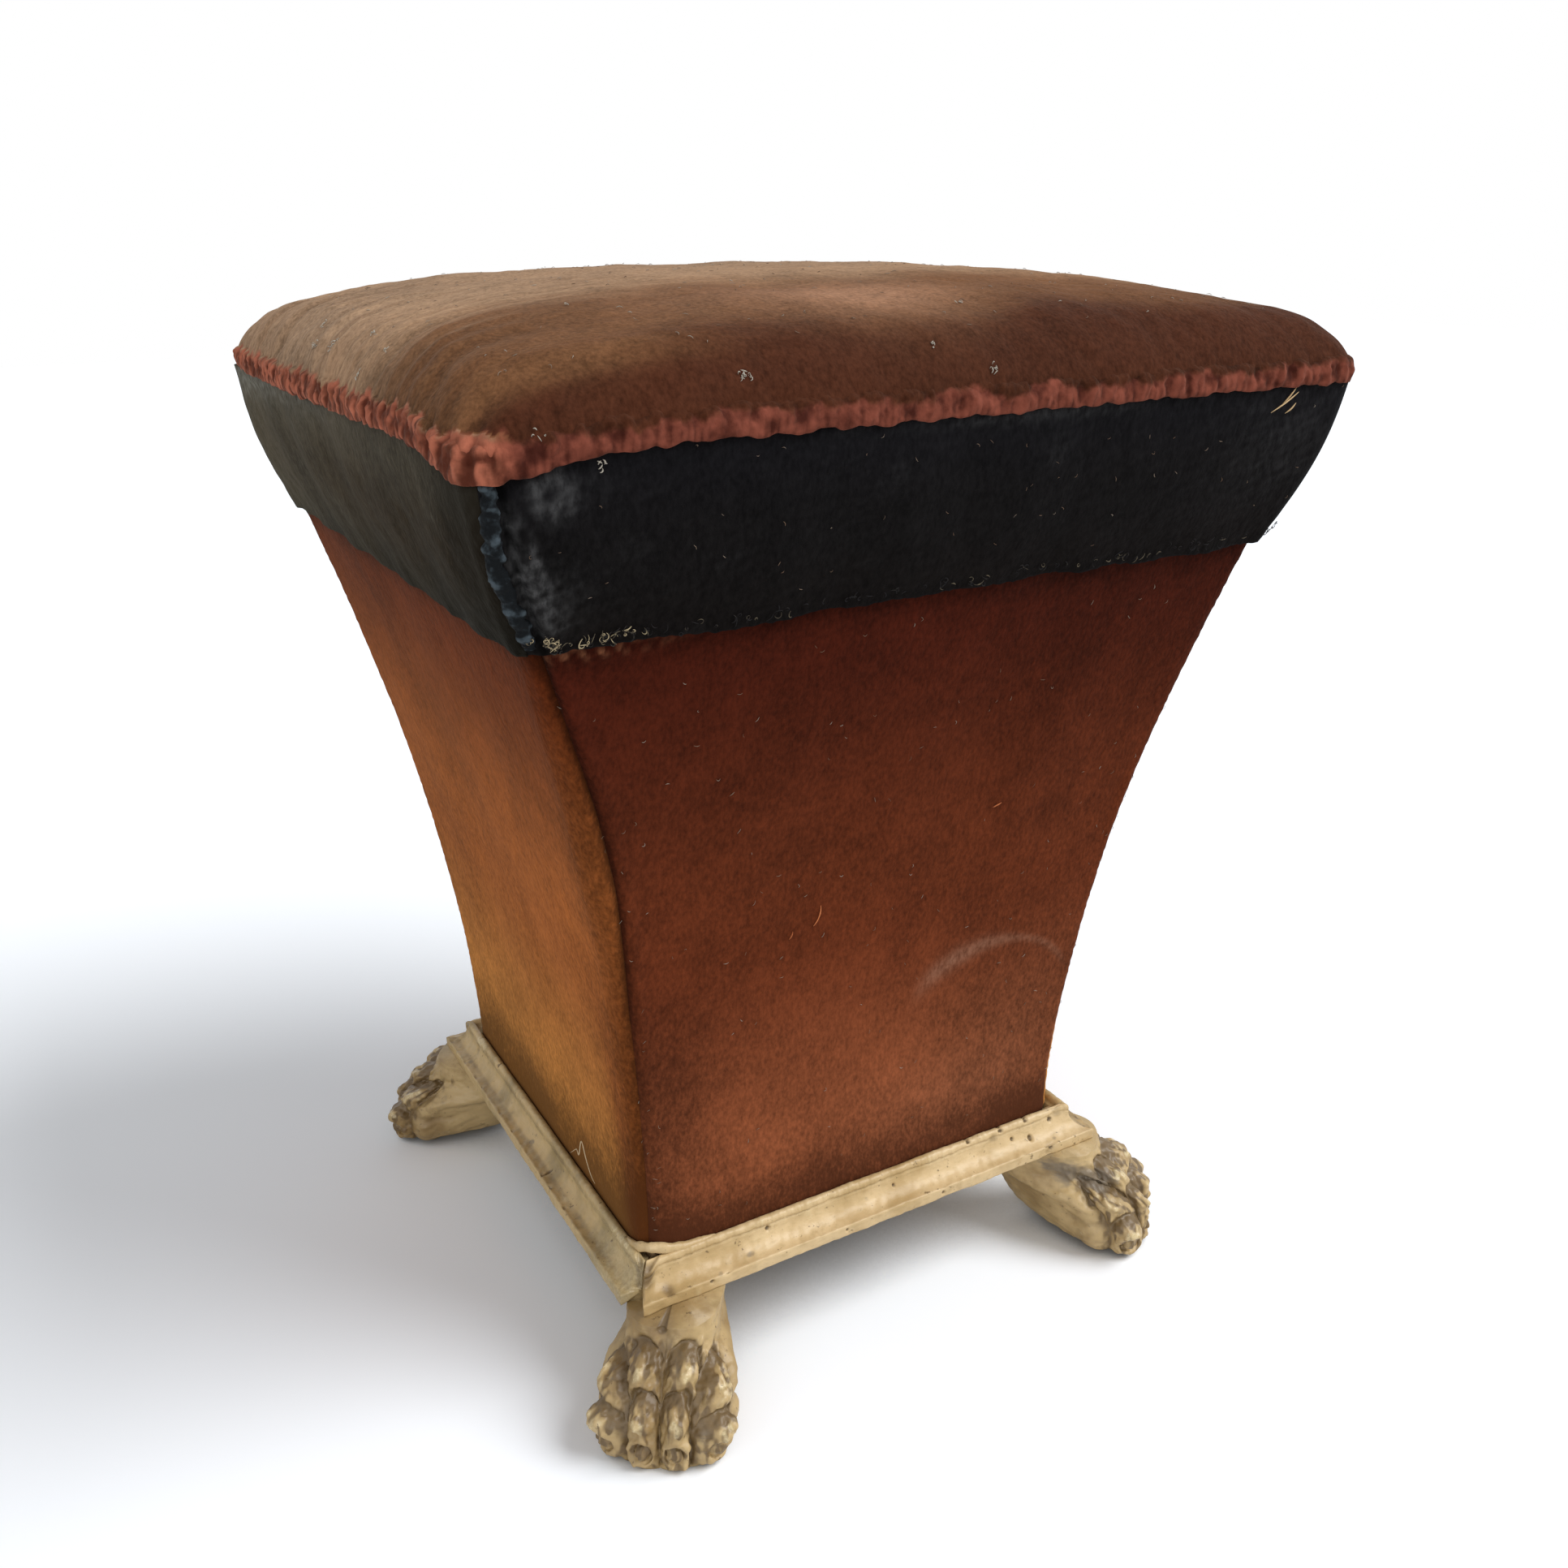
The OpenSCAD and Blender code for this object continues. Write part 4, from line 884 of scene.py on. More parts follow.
def laced_straps(name, across, made):
    """Straps side by side. Each rides over one strap of the other layer and under the next: a
    cosine of the place along it, with its sign changed from strap to strap."""
    rise = (WEB_TOP - WEB_LOW - STRAP_T) / 2
    along = np.linspace(-WEB_HALF, WEB_HALF, 160)[:, None]
    over = np.linspace(-0.5, 0.5, 12)[None, :] * STRAP_W
    wave = np.cos(math.pi * (along / STRAP_PITCH + 0.5 * STRAP_COUNT - 0.5))
    points, walls = [], []
    for number in range(STRAP_COUNT):
        sign = 1 if (number + across) % 2 else -1
        x = (number - (STRAP_COUNT - 1) / 2) * STRAP_PITCH + over
        z = (WEB_LOW + WEB_TOP) / 2 + sign * rise * wave - 0.0004 * np.cos(over / STRAP_W * math.pi)
        grid = grid_of(*((-along, x, z) if across else (x, along, z)))
        index = np.arange(z.size).reshape(z.shape) + sum(map(len, points))
        points.append(grid.reshape(-1, 3))
        walls.append(squares(index))
    walls = np.concatenate(walls)
    piece = mesh_piece(name, np.concatenate(points), walls.ravel(), np.full(len(walls), 4))
    thickened(piece, STRAP_T)
    fit_out(piece, made, "jute", "webbing_side_to_side" if across else "webbing_front_to_back")


jute = woven_cloth("jute_webbing", 780.0, JUTE_PALE, JUTE_DARK)
laced_straps("straps_front_to_back", 0, jute)
laced_straps("straps_side_to_side", 1, jute)

hessian_x, hessian_y = np.meshgrid(np.linspace(HESSIAN_BOX[0].x, HESSIAN_BOX[1].x, 90),
                                   np.linspace(HESSIAN_BOX[0].y, HESSIAN_BOX[1].y, 90))
# Pulled taut on the rails, it rises and falls a little over the laced straps
hessian_z = HESSIAN_BOX[1].z + HESSIAN_RISE * np.cos(math.pi * hessian_x / STRAP_PITCH) * np.cos(
    math.pi * hessian_y / STRAP_PITCH)
hessian = skin("hessian_cloth", grid_of(hessian_x, hessian_y, hessian_z))
thickened(hessian, HESSIAN_T)
fit_out(hessian, woven_cloth("hessian_weave", 1500.0, (0.50, 0.38, 0.22, 1), (0.20, 0.135, 0.07, 1)),
        "jute", "base_hessian")


# Seat stuffing and seat velvet.
# A domed cushion of horsehair under cotton velvet. The velvet is eased in by hand round the edge and
# whipped to the band, so its lower edge is gathered, and crushed until the red ground shows. The
# near corner has slumped, and the pile is faded, rubbed and dusty.
SEAM_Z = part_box("seat_cover")[0].z
SEAT_HALF = 0.191
SEAT_EDGE_H, SEAT_CROWN_H = 0.024, 0.0207
SEAT_EDGE_R = 0.0258
SEAT_CORNER_R = 0.016
CROWN_POWER = 3.6
CUSHION_IN = 0.0023
SEAT_SIDE_COLUMNS, SEAT_CORNER_COLUMNS = 190, 34
EDGE_SIDE_COLUMNS, EDGE_CORNER_COLUMNS = 560, 56
# Seat velvet tones by the rise mark: dark down the front, brown on top, palest over the left and towards
# the back, where the paleness is painted sheen
SEAT_SHADES = ((0.052, 0.0140, 0.0054, 1), (0.146, 0.064, 0.027, 1), (0.330, 0.205, 0.120, 1))
SEAT_WORN = (0.42, 0.225, 0.135, 1)
# Crushed edge, with painted shade in its creases and painted highlights on its folds, along the front and
# on the left. The left copy is lighter: painted light
CRUSHED_FRONT = ((0.040, 0.009, 0.006, 1), (0.205, 0.056, 0.036, 1))
CRUSHED_LEFT = ((0.085, 0.018, 0.010, 1), (0.460, 0.138, 0.082, 1))
SEAT_DUST = (0.52, 0.42, 0.32, 1)
# How deep the near corner has slumped, where, and how far that reaches along the front and the left
SLUMP, SLUMP_AT, SLUMP_REACH = 0.0075, (-0.190, -0.190), (0.036, 0.034)
# The far left corner, drawn in, and the right one, pushed out: how far, where, and the spread of it
BACK_LEFT_PULL, BACK_LEFT, BACK_LEFT_SPREAD = 0.0065, (-0.19, 0.19), 0.055
FRONT_RIGHT_PUSH, FRONT_RIGHT, FRONT_RIGHT_SPREAD = 0.0016, (0.19, -0.19), 0.07
# Where the near corner is in plan
NEAR = (-0.187, -0.187)
# Ridges of the gathers on the left, at the near corner and fine ones all round, and of the wrinkles
GATHER_LEFT, GATHER_NEAR, GATHER_FINE, WRINKLE = 0.0013, 0.0026, 0.0009, 0.00055
SEAT_RUBBED = [(0.50, (-0.017, -0.140), (0.036, 0.022)), (0.22, (-0.060, -0.135), (0.05, 0.02))]
SEAT_DUSTY = [(0.08, (-0.178, 0.01), (0.012, 0.05))]
# How far the velvet is pushed in under its gathered edge, and the edge's own roll
UNDER_EDGE, EDGE_OUT, EDGE_SINK, EDGE_TOP = 0.0024, 0.0011, 0.0016, 0.0115


def seat_plan(half, radius, side_columns, corner_columns):
    """Points of a rounded square in plan, anticlockwise from the near corner: a quarter circle at
    each corner and then a straight side. Every ring has its points on the same shares."""
    bend = np.linspace(0, 1, corner_columns + 1)[:-1]
    flat = np.linspace(0, 1, side_columns + 1)[:-1]
    angle = math.pi * (1 + 0.5 * np.concatenate([bend, np.ones(side_columns)]))
    share = np.concatenate([np.zeros(corner_columns), flat])
    x = -half + radius + radius * np.cos(angle) + 2 * (half - radius) * share
    y = -half + radius + radius * np.sin(angle)
    plans = [turned(grid_of(x, y, 0), QUARTER * side) for side in range(4)]
    return np.concatenate(plans, 1)


def spot(x, y, centre, spread):
    """Bell curve of the distance from a centre."""
    return hump(np.hypot(x - centre[0], y - centre[1]) / spread)


def settled(grid, pulled=1.0):
    """The far left corner is drawn in and the right one pushed out, as bell curves of the distance
    from each, fading in above the lower edge of the band."""
    x, y, high = grid[..., 0], grid[..., 1], step(grid[..., 2], 0.372, 0.435)
    pull = pulled * BACK_LEFT_PULL * high * spot(x, y, BACK_LEFT, BACK_LEFT_SPREAD)
    push = FRONT_RIGHT_PUSH * high * spot(x, y, FRONT_RIGHT, FRONT_RIGHT_SPREAD)
    return grid + grid_of(pull + push, -pull - push, 0) * math.sqrt(0.5)


def dome(over, crown, inset, side_columns, corner_columns):
    """Rings of the cushion: over is how far each has turned over the rolled edge, from 0 to a right
    angle, and crown its share of the way on to the middle. The edge is a quarter of an ellipse, and
    the crown falls off with a high power of the distance towards each side."""
    half = SEAT_HALF - inset - SEAT_EDGE_R * (1 - np.cos(over))
    half = (half * (1 - crown))[:, None]
    radius = np.maximum((SEAT_CORNER_R - inset) * (crown[:, None] == 0), half * SEAT_CORNER_R / SEAT_HALF)
    grid = seat_plan(half, radius, side_columns, corner_columns)
    fall = [1 - np.minimum(1, np.abs(grid[..., axis]) / (SEAT_HALF - inset)) ** CROWN_POWER
            for axis in (0, 1)]
    grid[..., 2] = (SEAM_Z + (SEAT_EDGE_H - inset) * np.sin(over)[:, None]
                    + SEAT_CROWN_H * fall[0] * fall[1])
    return grid


def slumped(grid):
    """The near corner sinks: a bell curve along the front times one along the left side."""
    sink = SLUMP * bell(grid[..., 0], grid[..., 1], SLUMP_AT, SLUMP_REACH)
    return settled(grid - grid_of(0, 0, sink))


def brushed_in(x, y, slow, length, seed):
    """Streaks that run in from the left edge and bend round the near corner."""
    lane = y + 0.020 * hump((y + 0.18) / 0.04) * np.exp(-(x + SEAT_HALF) / 0.02)
    return ripple(grid_of(slow * x, lane, 0), length, seed)


def folds(phase, power):
    """Rounded ridges with sharp valleys at whole phases."""
    return np.abs(np.sin(math.pi * phase)) ** power


def eased(grid, above):
    """Gathers of the velvet as height above its surface, and how deep each point lies between two.
    Each gather is a ridge across the edge; they are wide and deep on the left side and at the near
    corner, and fine along the front."""
    x, y = grid[..., 0], grid[..., 1]
    run = np.where(np.abs(x) > np.abs(y), -np.sign(x) * y, -np.sign(y) * x)
    run = np.where((np.abs(y) >= np.abs(x)) & (y < 0), x, run)
    wander = 0.0022 * ripple(np.stack([x, y], -1), 0.03, 301)
    on_left = step(-x - np.abs(y), -0.012, 0.010)
    at_near = spot(x, y, (-0.185, -0.187), 0.034)
    wide = folds((run + 0.8 * wander) / 0.0066 + 0.12 * above / 0.01, 0.75)
    near = folds((x - y + 1.4 * wander) / 0.0155, 0.7)
    fine = folds((run + 0.7 * wander) / 0.0037, 0.8)
    strength = 0.65 + 0.35 * ripple(np.stack([x, y], -1), 0.05, 307)
    reach_left, reach_near, reach_fine = (hump(above / reach) for reach in (0.0125, 0.017, 0.0062))
    ridge = (on_left * reach_left * GATHER_LEFT * (wide - 0.6) * strength
             + at_near * reach_near * GATHER_NEAR * (near - 0.6)
             + (0.25 + 0.45 * on_left) * reach_fine * GATHER_FINE * (fine - 0.6) * strength)
    crease = np.clip(on_left * reach_left * (1 - wide) + at_near * reach_near * (1 - near)
                     + 0.5 * reach_fine * (1 - fine), 0, 1)
    # Long soft wrinkles
    reach_in = step(-x, 0.130, 0.178) * step(above, 0.008, 0.018) * (above > 0)
    wrinkle = brushed_in(x, y, 0.12, 0.013, 351)
    crease = np.clip(crease + 0.22 * step(-wrinkle, 0.3, 1.4) * reach_in, 0, 1)
    return ridge + WRINKLE * wrinkle * reach_in, crease


def crushed_edge(grid, above, crease):
    """How far the pile is crushed: whole below an edge that wavers round the seat, higher on the
    left, at the near corner and in the creases."""
    x, y, plan = grid[..., 0], grid[..., 1], grid * (1, 1, 0)
    reach = (0.0066 + 0.0016 * ripple(plan, 0.016, 337) + 0.0006 * ripple(plan, 0.005, 338)
             + 0.0026 * step(-x - np.abs(y), -0.02, 0.02) + 0.0014 * np.clip(crease, 0, 1)
             + 0.0040 * spot(x, y, (-0.188, -0.187), 0.016))
    return step(reach - above, -0.0034, 0.0034)


def seat_marks(piece, grid, above, crease):
    """Tone of the velvet: darkest down the front, browner on top, palest over the left side, and paler
    towards the back, which is painted sheen.
    Painted shade lies in the creases, with rubbed, dusty and crushed places as bell curves round where they
    lie."""
    x, y = grid[..., 0], grid[..., 1]
    crushed = crushed_edge(grid, above, crease)
    inward = y + SEAT_HALF + 0.008 * ripple(grid_of(x, 0, 0), 0.12, 309)
    leftward = step(-x, 0.045, 0.175)
    # Paler towards the back: painted sheen of velvet seen at a grazing angle
    rise = 0.02 + 0.42 * step(inward, 0.003, 0.046) + 0.44 * step(inward, 0.046, 0.125)
    rise = np.maximum(rise, 0.49 * leftward * step(y, -0.188, -0.172))
    rise = rise - 0.13 * step(x, 0.0, 0.06) * step(inward, 0.10, 0.02)
    # Nap brushed in streaks
    streak = brushed_in(x, y, 0.10, 0.008, 311)
    rise = rise + 0.075 * streak * (0.25 + 0.75 * leftward) * step(inward, 0.002, 0.02)
    # The crushed edge takes the lighter left copy by its rise, which paints light on the left side
    rise = np.where(crushed > 0.5, np.maximum(step(-x, 0.170, 0.184), 0.12), rise)
    worn = patches(x, y, SEAT_RUBBED) * (1 - crushed)
    # The dust grows towards the back, where it also paints the velvet's sheen
    dust = (0.010 + patches(x, y, SEAT_DUSTY) + 0.08 * step(inward, 0.08, 0.20)) * (1 - 0.7 * crushed)
    # The creases are given as the dark mark: painted shade in them
    velvet_marks(piece, rise, 0.8 * crease, dust, worn, crushed=crushed)


def horsehair_material():
    """Curled hair: fine rings bent far out of shape."""
    made = Material("horsehair_stuffing", Roughness=0.8)
    strands = made.wave(made.place(), 900.0, 26.0, 4.0, 2.0, wave_type="RINGS")
    colour = made.mix(strands, (0.016, 0.010, 0.006, 1), (0.13, 0.085, 0.05, 1))
    return made.finish(colour, strands, 0.8, 0.0008)


def seat_material():
    """The velvet of the seat, crushed red along its edge."""
    made = Material("velvet_seat", Specular_IOR_Level=0.05, Sheen_Weight=0.05, Sheen_Roughness=0.45,
                    Sheen_Tint=(0.95, 0.75, 0.6, 1))
    laid = laid_pile(made, SEAT_SHADES, SEAT_WORN, SEAT_DUST)
    uneven = made.noise(made.place(), 170.0)
    share = made.ramp(made.plus(made.mark("crushed"), made.centred(uneven, 0.7)), 0.22, 0.85, 0.0, 0.92)
    # Light picks between crease and fold tones of the crushed edge: painted shade and painted highlight
    light = made.ramp(made.math("SUBTRACT", uneven, made.times(made.mark("dark"), 0.55)), 0.0, 0.75)
    crushed = made.mix(made.mark("rise"), made.mix(light, *CRUSHED_FRONT), made.mix(light, *CRUSHED_LEFT))
    return made.finish(made.mix(share, laid["Color"], crushed), laid["Height"], 0.55, 0.0006,
                       laid["Roughness"])


def seat_stuffing():
    """The cushion, a little inside the velvet and drawn in at the near corner."""
    over = np.concatenate([[0.02], np.linspace(0.06, QUARTER, 12), np.full(12, QUARTER)])
    crown = np.concatenate([np.zeros(13), np.linspace(0.06, 0.94, 12)])
    grid = slumped(dome(over, crown, CUSHION_IN, 30, 8))
    drawn_in = 0.0040 * spot(grid[..., 0], grid[..., 1], (-0.185, -0.185), 0.026)
    grid = swell(grid, 0.0004 * ripple(grid, 0.02, 313) - 0.0005 - drawn_in, True)
    grid[0, :, 2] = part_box("seat_stuffing")[0].z
    piece = skin("horsehair", grid, wrap=True, ends=((0, 0, grid[0, 0, 2]), grid[-1].mean(0)))
    fit_out(piece, horsehair_material(), "horsehair", "seat_stuffing")


def seat_top(made):
    """The velvet over the dome, eased in at its edge, and uneven over the stuffing."""
    over = np.concatenate([np.linspace(0.05, QUARTER, 44), np.full(62, QUARTER)])
    crown = np.concatenate([np.zeros(44), np.linspace(0, 0.985, 63)[1:]])
    grid = dome(over, crown, 0, SEAT_SIDE_COLUMNS, SEAT_CORNER_COLUMNS)
    above = grid[..., 2] - SEAM_Z
    ridge, crease = eased(grid, above)
    uneven = 0.0006 * ripple(grid, 0.055, 317) + 0.0002 * ripple(grid, 0.012, 331)
    grid = slumped(swell(grid, ridge - UNDER_EDGE * step(above, 0.0085, 0.0045) + uneven, True))
    surfaces["seat"] = grid
    piece = skin("seat_velvet", grid, wrap=True, ends=(None, grid[-1].mean(0)))
    seat_marks(piece, grid, above, crease)
    fit_out(piece, made, "seat_velvet", "seat_cover")


def seat_edge(made):
    """The gathered edge: the same dome followed from just under the seam, finer and a little
    prouder, until it sinks into the seat velvet above it."""
    grid = dome(np.linspace(0.0, 0.50, 20), np.zeros(20), 0, EDGE_SIDE_COLUMNS, EDGE_CORNER_COLUMNS)
    x, y, above = grid[..., 0], grid[..., 1], grid[..., 2] - SEAM_Z
    ridge, crease = eased(grid, above)
    roll = np.sin(math.pi * np.clip(above / EDGE_TOP, 0, 1)) ** 0.6
    puffs = ripple(grid * (1, 1, 0.6), 0.0062, 347)
    lumps = 0.00075 * puffs + 0.00025 * ripple(grid, 0.0028, 348) + 0.0004 * ripple(grid, 0.011, 349)
    prouder = (EDGE_OUT + lumps) * roll - EDGE_SINK * step(above, 0.0075, EDGE_TOP)
    # The fold tucked under the near corner: a slit with a lip below it
    tuck = hump((x - y - 0.003) / 0.0075) * spot(x, y, NEAR, 0.016)
    slit = tuck * hump((above - 0.0062) / 0.0011)
    lip = tuck * hump((above - 0.0035) / 0.0018) * hump((x + y + 0.375) / 0.02)
    grid = swell(grid, 0.5 * ridge + prouder + 0.0010 * lip - 0.0007 * slit, True)
    # Two more rings below turn the edge in under itself, and it hangs unevenly
    under, low = grid[:1] * (1 - 0.006 / SEAT_HALF), grid[:1] * (1 - 0.0016 / SEAT_HALF)
    under[..., 2] = SEAM_Z + 0.0004
    low[..., 2] = SEAM_Z + 0.0004 * np.sin(41 * np.arctan2(y[:1], x[:1]))
    grid = slumped(np.concatenate([under, low, grid]))
    plan = grid[:1] * (1, 1, 0)
    hang = 0.0006 + 0.0005 * ripple(plan, 0.013, 361) + 0.0004 * ripple(plan, 0.006, 363)
    fading = np.concatenate([[1, 1], np.exp(-above[:, 0] / 0.003)])[:, None]
    grid[..., 2] -= np.clip(hang, 0, 0.003) * fading
    surfaces["edge"] = grid[2:]
    # Dark between the puffs and in the slit of the tuck: painted shade
    crease = crease + 0.7 * step(-puffs, -0.2, 1.2) * roll
    creased = np.concatenate([crease[:1], crease[:1], np.clip(crease + slit, 0, 1.2)])
    piece = skin("seat_gathers", grid, wrap=True)
    seat_marks(piece, grid, np.concatenate([above[:1], above[:1], above]), creased)
    fit_out(piece, made, "seat_velvet", "seat_cover")


seat_stuffing()
seat_velvet = seat_material()
seat_top(seat_velvet)
seat_edge(seat_velvet)


# Band padding and dark band.
# Cotton wadding over the seat rails, and four strips of black velvet drawn round it from the seam to
# below the rails. They meet at the corners, and are sewn by hand at the near one.
BAND_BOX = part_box("band_front")
BAND_LOW = BAND_BOX[0].z
BAND_H = BAND_BOX[1].z - BAND_LOW
BAND_STEP_OUT, BAND_BULGE = 0.0031, 0.0035
BAND_CORNER_R = 0.012
BAND_T = 0.0024
BAND_ROWS, BAND_COLUMNS = 60, 300
# Band tones low down, at half height and at the top, on the front and on the sides. All is black velvet:
# the sides' lighter tones are painted light and sheen, darker downwards as painted shade
BAND_FRONT_SHADES = ((0.0050, 0.0038, 0.0034, 1), (0.0046, 0.0040, 0.0041, 1), (0.0056, 0.0052, 0.0064, 1))
BAND_LEFT_SHADES = ((0.0120, 0.0087, 0.0040, 1), (0.028, 0.0186, 0.0098, 1), (0.062, 0.052, 0.036, 1))
BAND_DUST = (0.092, 0.092, 0.094, 1)
# The band can be drawn in less than the seat, as the rails' corner is close behind it
BAND_PULLED = 0.45
BAND_DRAWN_IN, BAND_FOLD, STITCH_GROOVE, STITCH_LIP = 0.0048, 0.0011, 0.0022, 0.0012
# The wadding: how far inside the band's face it starts and inside the flare it ends, how thin it may
# get and the radius of its corners
WADDING_IN, WADDING_DEEP, WADDING_LEAST, WADDING_CORNER_R = 0.0006, 0.0057, 0.0004, 0.0095
# Dusty patches, as in FRONT_DARK: on the left by the distance from the near corner, and on the
# front beside the stitches, where the first is a ring, by the distance along
LEFT_DUSTY = [(0.75, (0.345, 0.434), (0.05, 0.007)), (0.45, (0.250, 0.437), (0.06, 0.006))]
RING_CENTRE, RING_RADII = (0.0225, 0.4265), (0.0065, 0.0075)
FRONT_DUSTY = [
    (0.42, (0.0080, 0.4185), (0.0030, 0.0042)), (0.60, (0.0076, 0.4040), (0.0030, 0.0070)),
    (0.62, (0.0130, 0.4040), (0.0020, 0.0065)), (0.62, (0.0100, 0.3935), (0.0060, 0.0060)),
    (0.45, (0.0095, 0.3840), (0.0070, 0.0060)), (0.10, (0.0190, 0.3930), (0.0110, 0.0090)),
    (0.22, (0.21, 0.437), (0.05, 0.003))]
FAR_DUSTY = [(0.10, (0.030, 0.415), (0.03, 0.02))]


def band_half(height):
    """Half the band's width: the flare, stepped out at its lower edge and swelled at half height."""
    share = np.clip((height - BAND_LOW) / BAND_H, 0, 1)
    return flare(height) + BAND_STEP_OUT * (1 - share) + BAND_BULGE * np.sin(math.pi * share)


def band(side, seed, made):
    """One strip from corner to corner. It lies in soft upright folds on the left side, is drawn in
    along the stitches at the near corner, and its lower edge wavers."""
    share = np.linspace(0, 1, BAND_ROWS)[:, None]
    height = BAND_LOW + BAND_H * share
    half = band_half(height)
    whole = 2 * (half - BAND_CORNER_R) + QUARTER * BAND_CORNER_R
    along = whole * spaced(BAND_COLUMNS)
    x, y = round_wall(along, half, BAND_CORNER_R)
    grid = grid_of(x, y, height)
    plan = grid * (1, 1, 0)
    ragged = 0.00010 if side == 3 else 0.00026
    grid[..., 2] += hump(share / 0.16) * (0.0007 * ripple(plan, 0.026, seed)
                                          + ragged * ripple(plan, 0.0045, seed + 1))
    slack = 0.0007 * ripple(grid * (1, 1, 0.6), 0.045, seed + 2) + 0.0002 * ripple(grid, 0.012, seed + 3)
    near, left = np.minimum(along, whole - along), whole - along
    relief = slack * step(near, 0, 0.015) * step(share, 1.0, 0.85)
    # Painted shade along the top, under the seat's edge, and along the lower edge
    dark = 0.35 * hump((share - 1) / 0.08) + 0.3 * hump(share / 0.06) + 0 * x
    worn = 0 * x
    dust = 0.02 + 0.05 * step(ripple(grid, 0.03, seed + 4), 0.6, 1.7)
    if side in (0, 3):
        # The upper edge is drawn in under the slumped corner of the seat
        by_corner = hump((left if side else along) / 0.026)
        relief = relief - BAND_DRAWN_IN * step(share, 0.84, 0.98) * by_corner
    if side == 3:
        fold = ripple(grid_of(along + 0.35 * (height - BAND_LOW), 0, 0), 0.085, seed + 5)
        relief = relief + BAND_FOLD * fold * step(near, 0.0, 0.05) * np.sin(math.pi * share) ** 0.7
        # Painted light and shade across the folds, painted shade towards the near corner, and paler towards
        # the far end
        dark = dark - 0.35 * fold * step(near, 0.0, 0.04)
        dark = dark + 1.30 * hump(left / 0.068) + 0.35 * hump(left / 0.020)
        dust = dust + patches(left, height, LEFT_DUSTY)
        worn = 0.55 * step(left, 0.10, 0.34)
    if side == 0:
        groove = hump((along - 0.0056 - 0.0016 * share) / 0.0016)
        groove = groove * step(share, 1.0, 0.9) * step(share, 0.0, 0.04)
        lip = hump((along - 0.0100 - 0.0010 * share) / 0.0030) * step(share, 0.80, 0.45)
        relief = relief - STITCH_GROOVE * groove + STITCH_LIP * lip
        # The groove beside the stitches is painted dark: painted shade
        dark = dark + 1.4 * groove
        ring = np.hypot((along - RING_CENTRE[0]) / RING_RADII[0], (height - RING_CENTRE[1]) / RING_RADII[1])
        dust = dust + 0.46 * hump((ring - 0.75) / 0.50) + 0.06 * hump(ring)
        dust = dust + patches(along, height, FRONT_DUSTY) + patches(left, height, FAR_DUSTY)
    dust = dust * np.clip(0.76 + 0.40 * ripple(grid, 0.0045, seed + 6), 0.1, 1.6)
    grid = settled(turned(swell(grid, relief, False), QUARTER * side), BAND_PULLED)
    surfaces["band_" + SIDES[side]] = grid
    piece = skin("velvet_band_" + SIDES[side], grid)
    # The rise is the height share, so the band's tones change with height: painted shade and light
    velvet_marks(piece, share + 0 * x, dark, dust, worn)
    thickened(piece, BAND_T)
    fit_out(piece, made, "band_velvet", "band_" + SIDES[side])


def band_wadding():
    """Wadding between rail and band, all round: rings that go up its outer face and down its
    inner one, a fraction inside the band and outside the rails."""
    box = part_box("band_padding")
    up = np.linspace(box[0].z, box[1].z, 16)
    out = band_half(up) - BAND_T - WADDING_IN
    inner = np.minimum(flare(up) - WADDING_DEEP, out - WADDING_LEAST)
    half = np.concatenate([out, inner[::-1]])[:, None]
    grid = seat_plan(half, np.full_like(half, WADDING_CORNER_R), 60, 8)
    grid[..., 2] = np.concatenate([up, up[::-1]])[:, None]
    grid = np.concatenate([grid, grid[:1]])
    puff = ripple(grid, 0.014, 401) * 0.0003
    puff[16:] = 0
    puff[-1] = puff[0]
    return settled(swell(grid, puff - 0.0003 * (puff != 0), True), BAND_PULLED)


def cotton_material():
    """Teased cotton, cream with grey in it."""
    made = Material("cotton_wadding", Roughness=0.95)
    fluff = made.noise(made.place(), 260.0, 5.0, 0.7)
    colour = made.mix(fluff, (0.42, 0.37, 0.28, 1), (0.78, 0.73, 0.62, 1))
    return made.finish(colour, fluff, 0.8, 0.001)


wadding = skin("cotton_wadding", band_wadding(), wrap=True)
fit_out(wadding, cotton_material(), "wadding", "band_padding")

band_front = velvet("velvet_band_black", BAND_FRONT_SHADES, (0.03, 0.028, 0.028, 1), BAND_DUST, 0.01,
                    (0.7, 0.75, 0.9, 1))
# The sides' band is the same black velvet, with painted light and sheen in its tones
band_side = velvet("velvet_band_lit_sides", BAND_LEFT_SHADES, (0.080, 0.068, 0.046, 1),
                   (0.20, 0.20, 0.175, 1), 0.02, (0.8, 0.8, 0.6, 1))
for number, seed in enumerate((131, 137, 139, 149)):
    band(number, seed, band_side if number % 2 else band_front)


# Stitches, frayed threads, straws and lint.
# The near corner of the band is whipped with thick dark blue thread. The band's lower edge frays into
# cream and gold ends there, straws stick in its right end, and pale lint lies on all the velvet.
STITCH_TURNS = 12
STITCH_ROWS, STITCH_COLUMNS = 230, 48
STITCH_THREAD = 0.0029
STITCH_TOP, STITCH_LOW = 0.4338, 0.3738
# Height of the whipped ridge, and how far round the corner it lies
STITCH_HEIGHTS = [0.374, 0.380, 0.390, 0.404, 0.417, 0.430, 0.437]
STITCH_ASIDE = [0.0018, 0.0018, 0.0012, 0.0002, 0.0018, 0.0034, 0.0040]
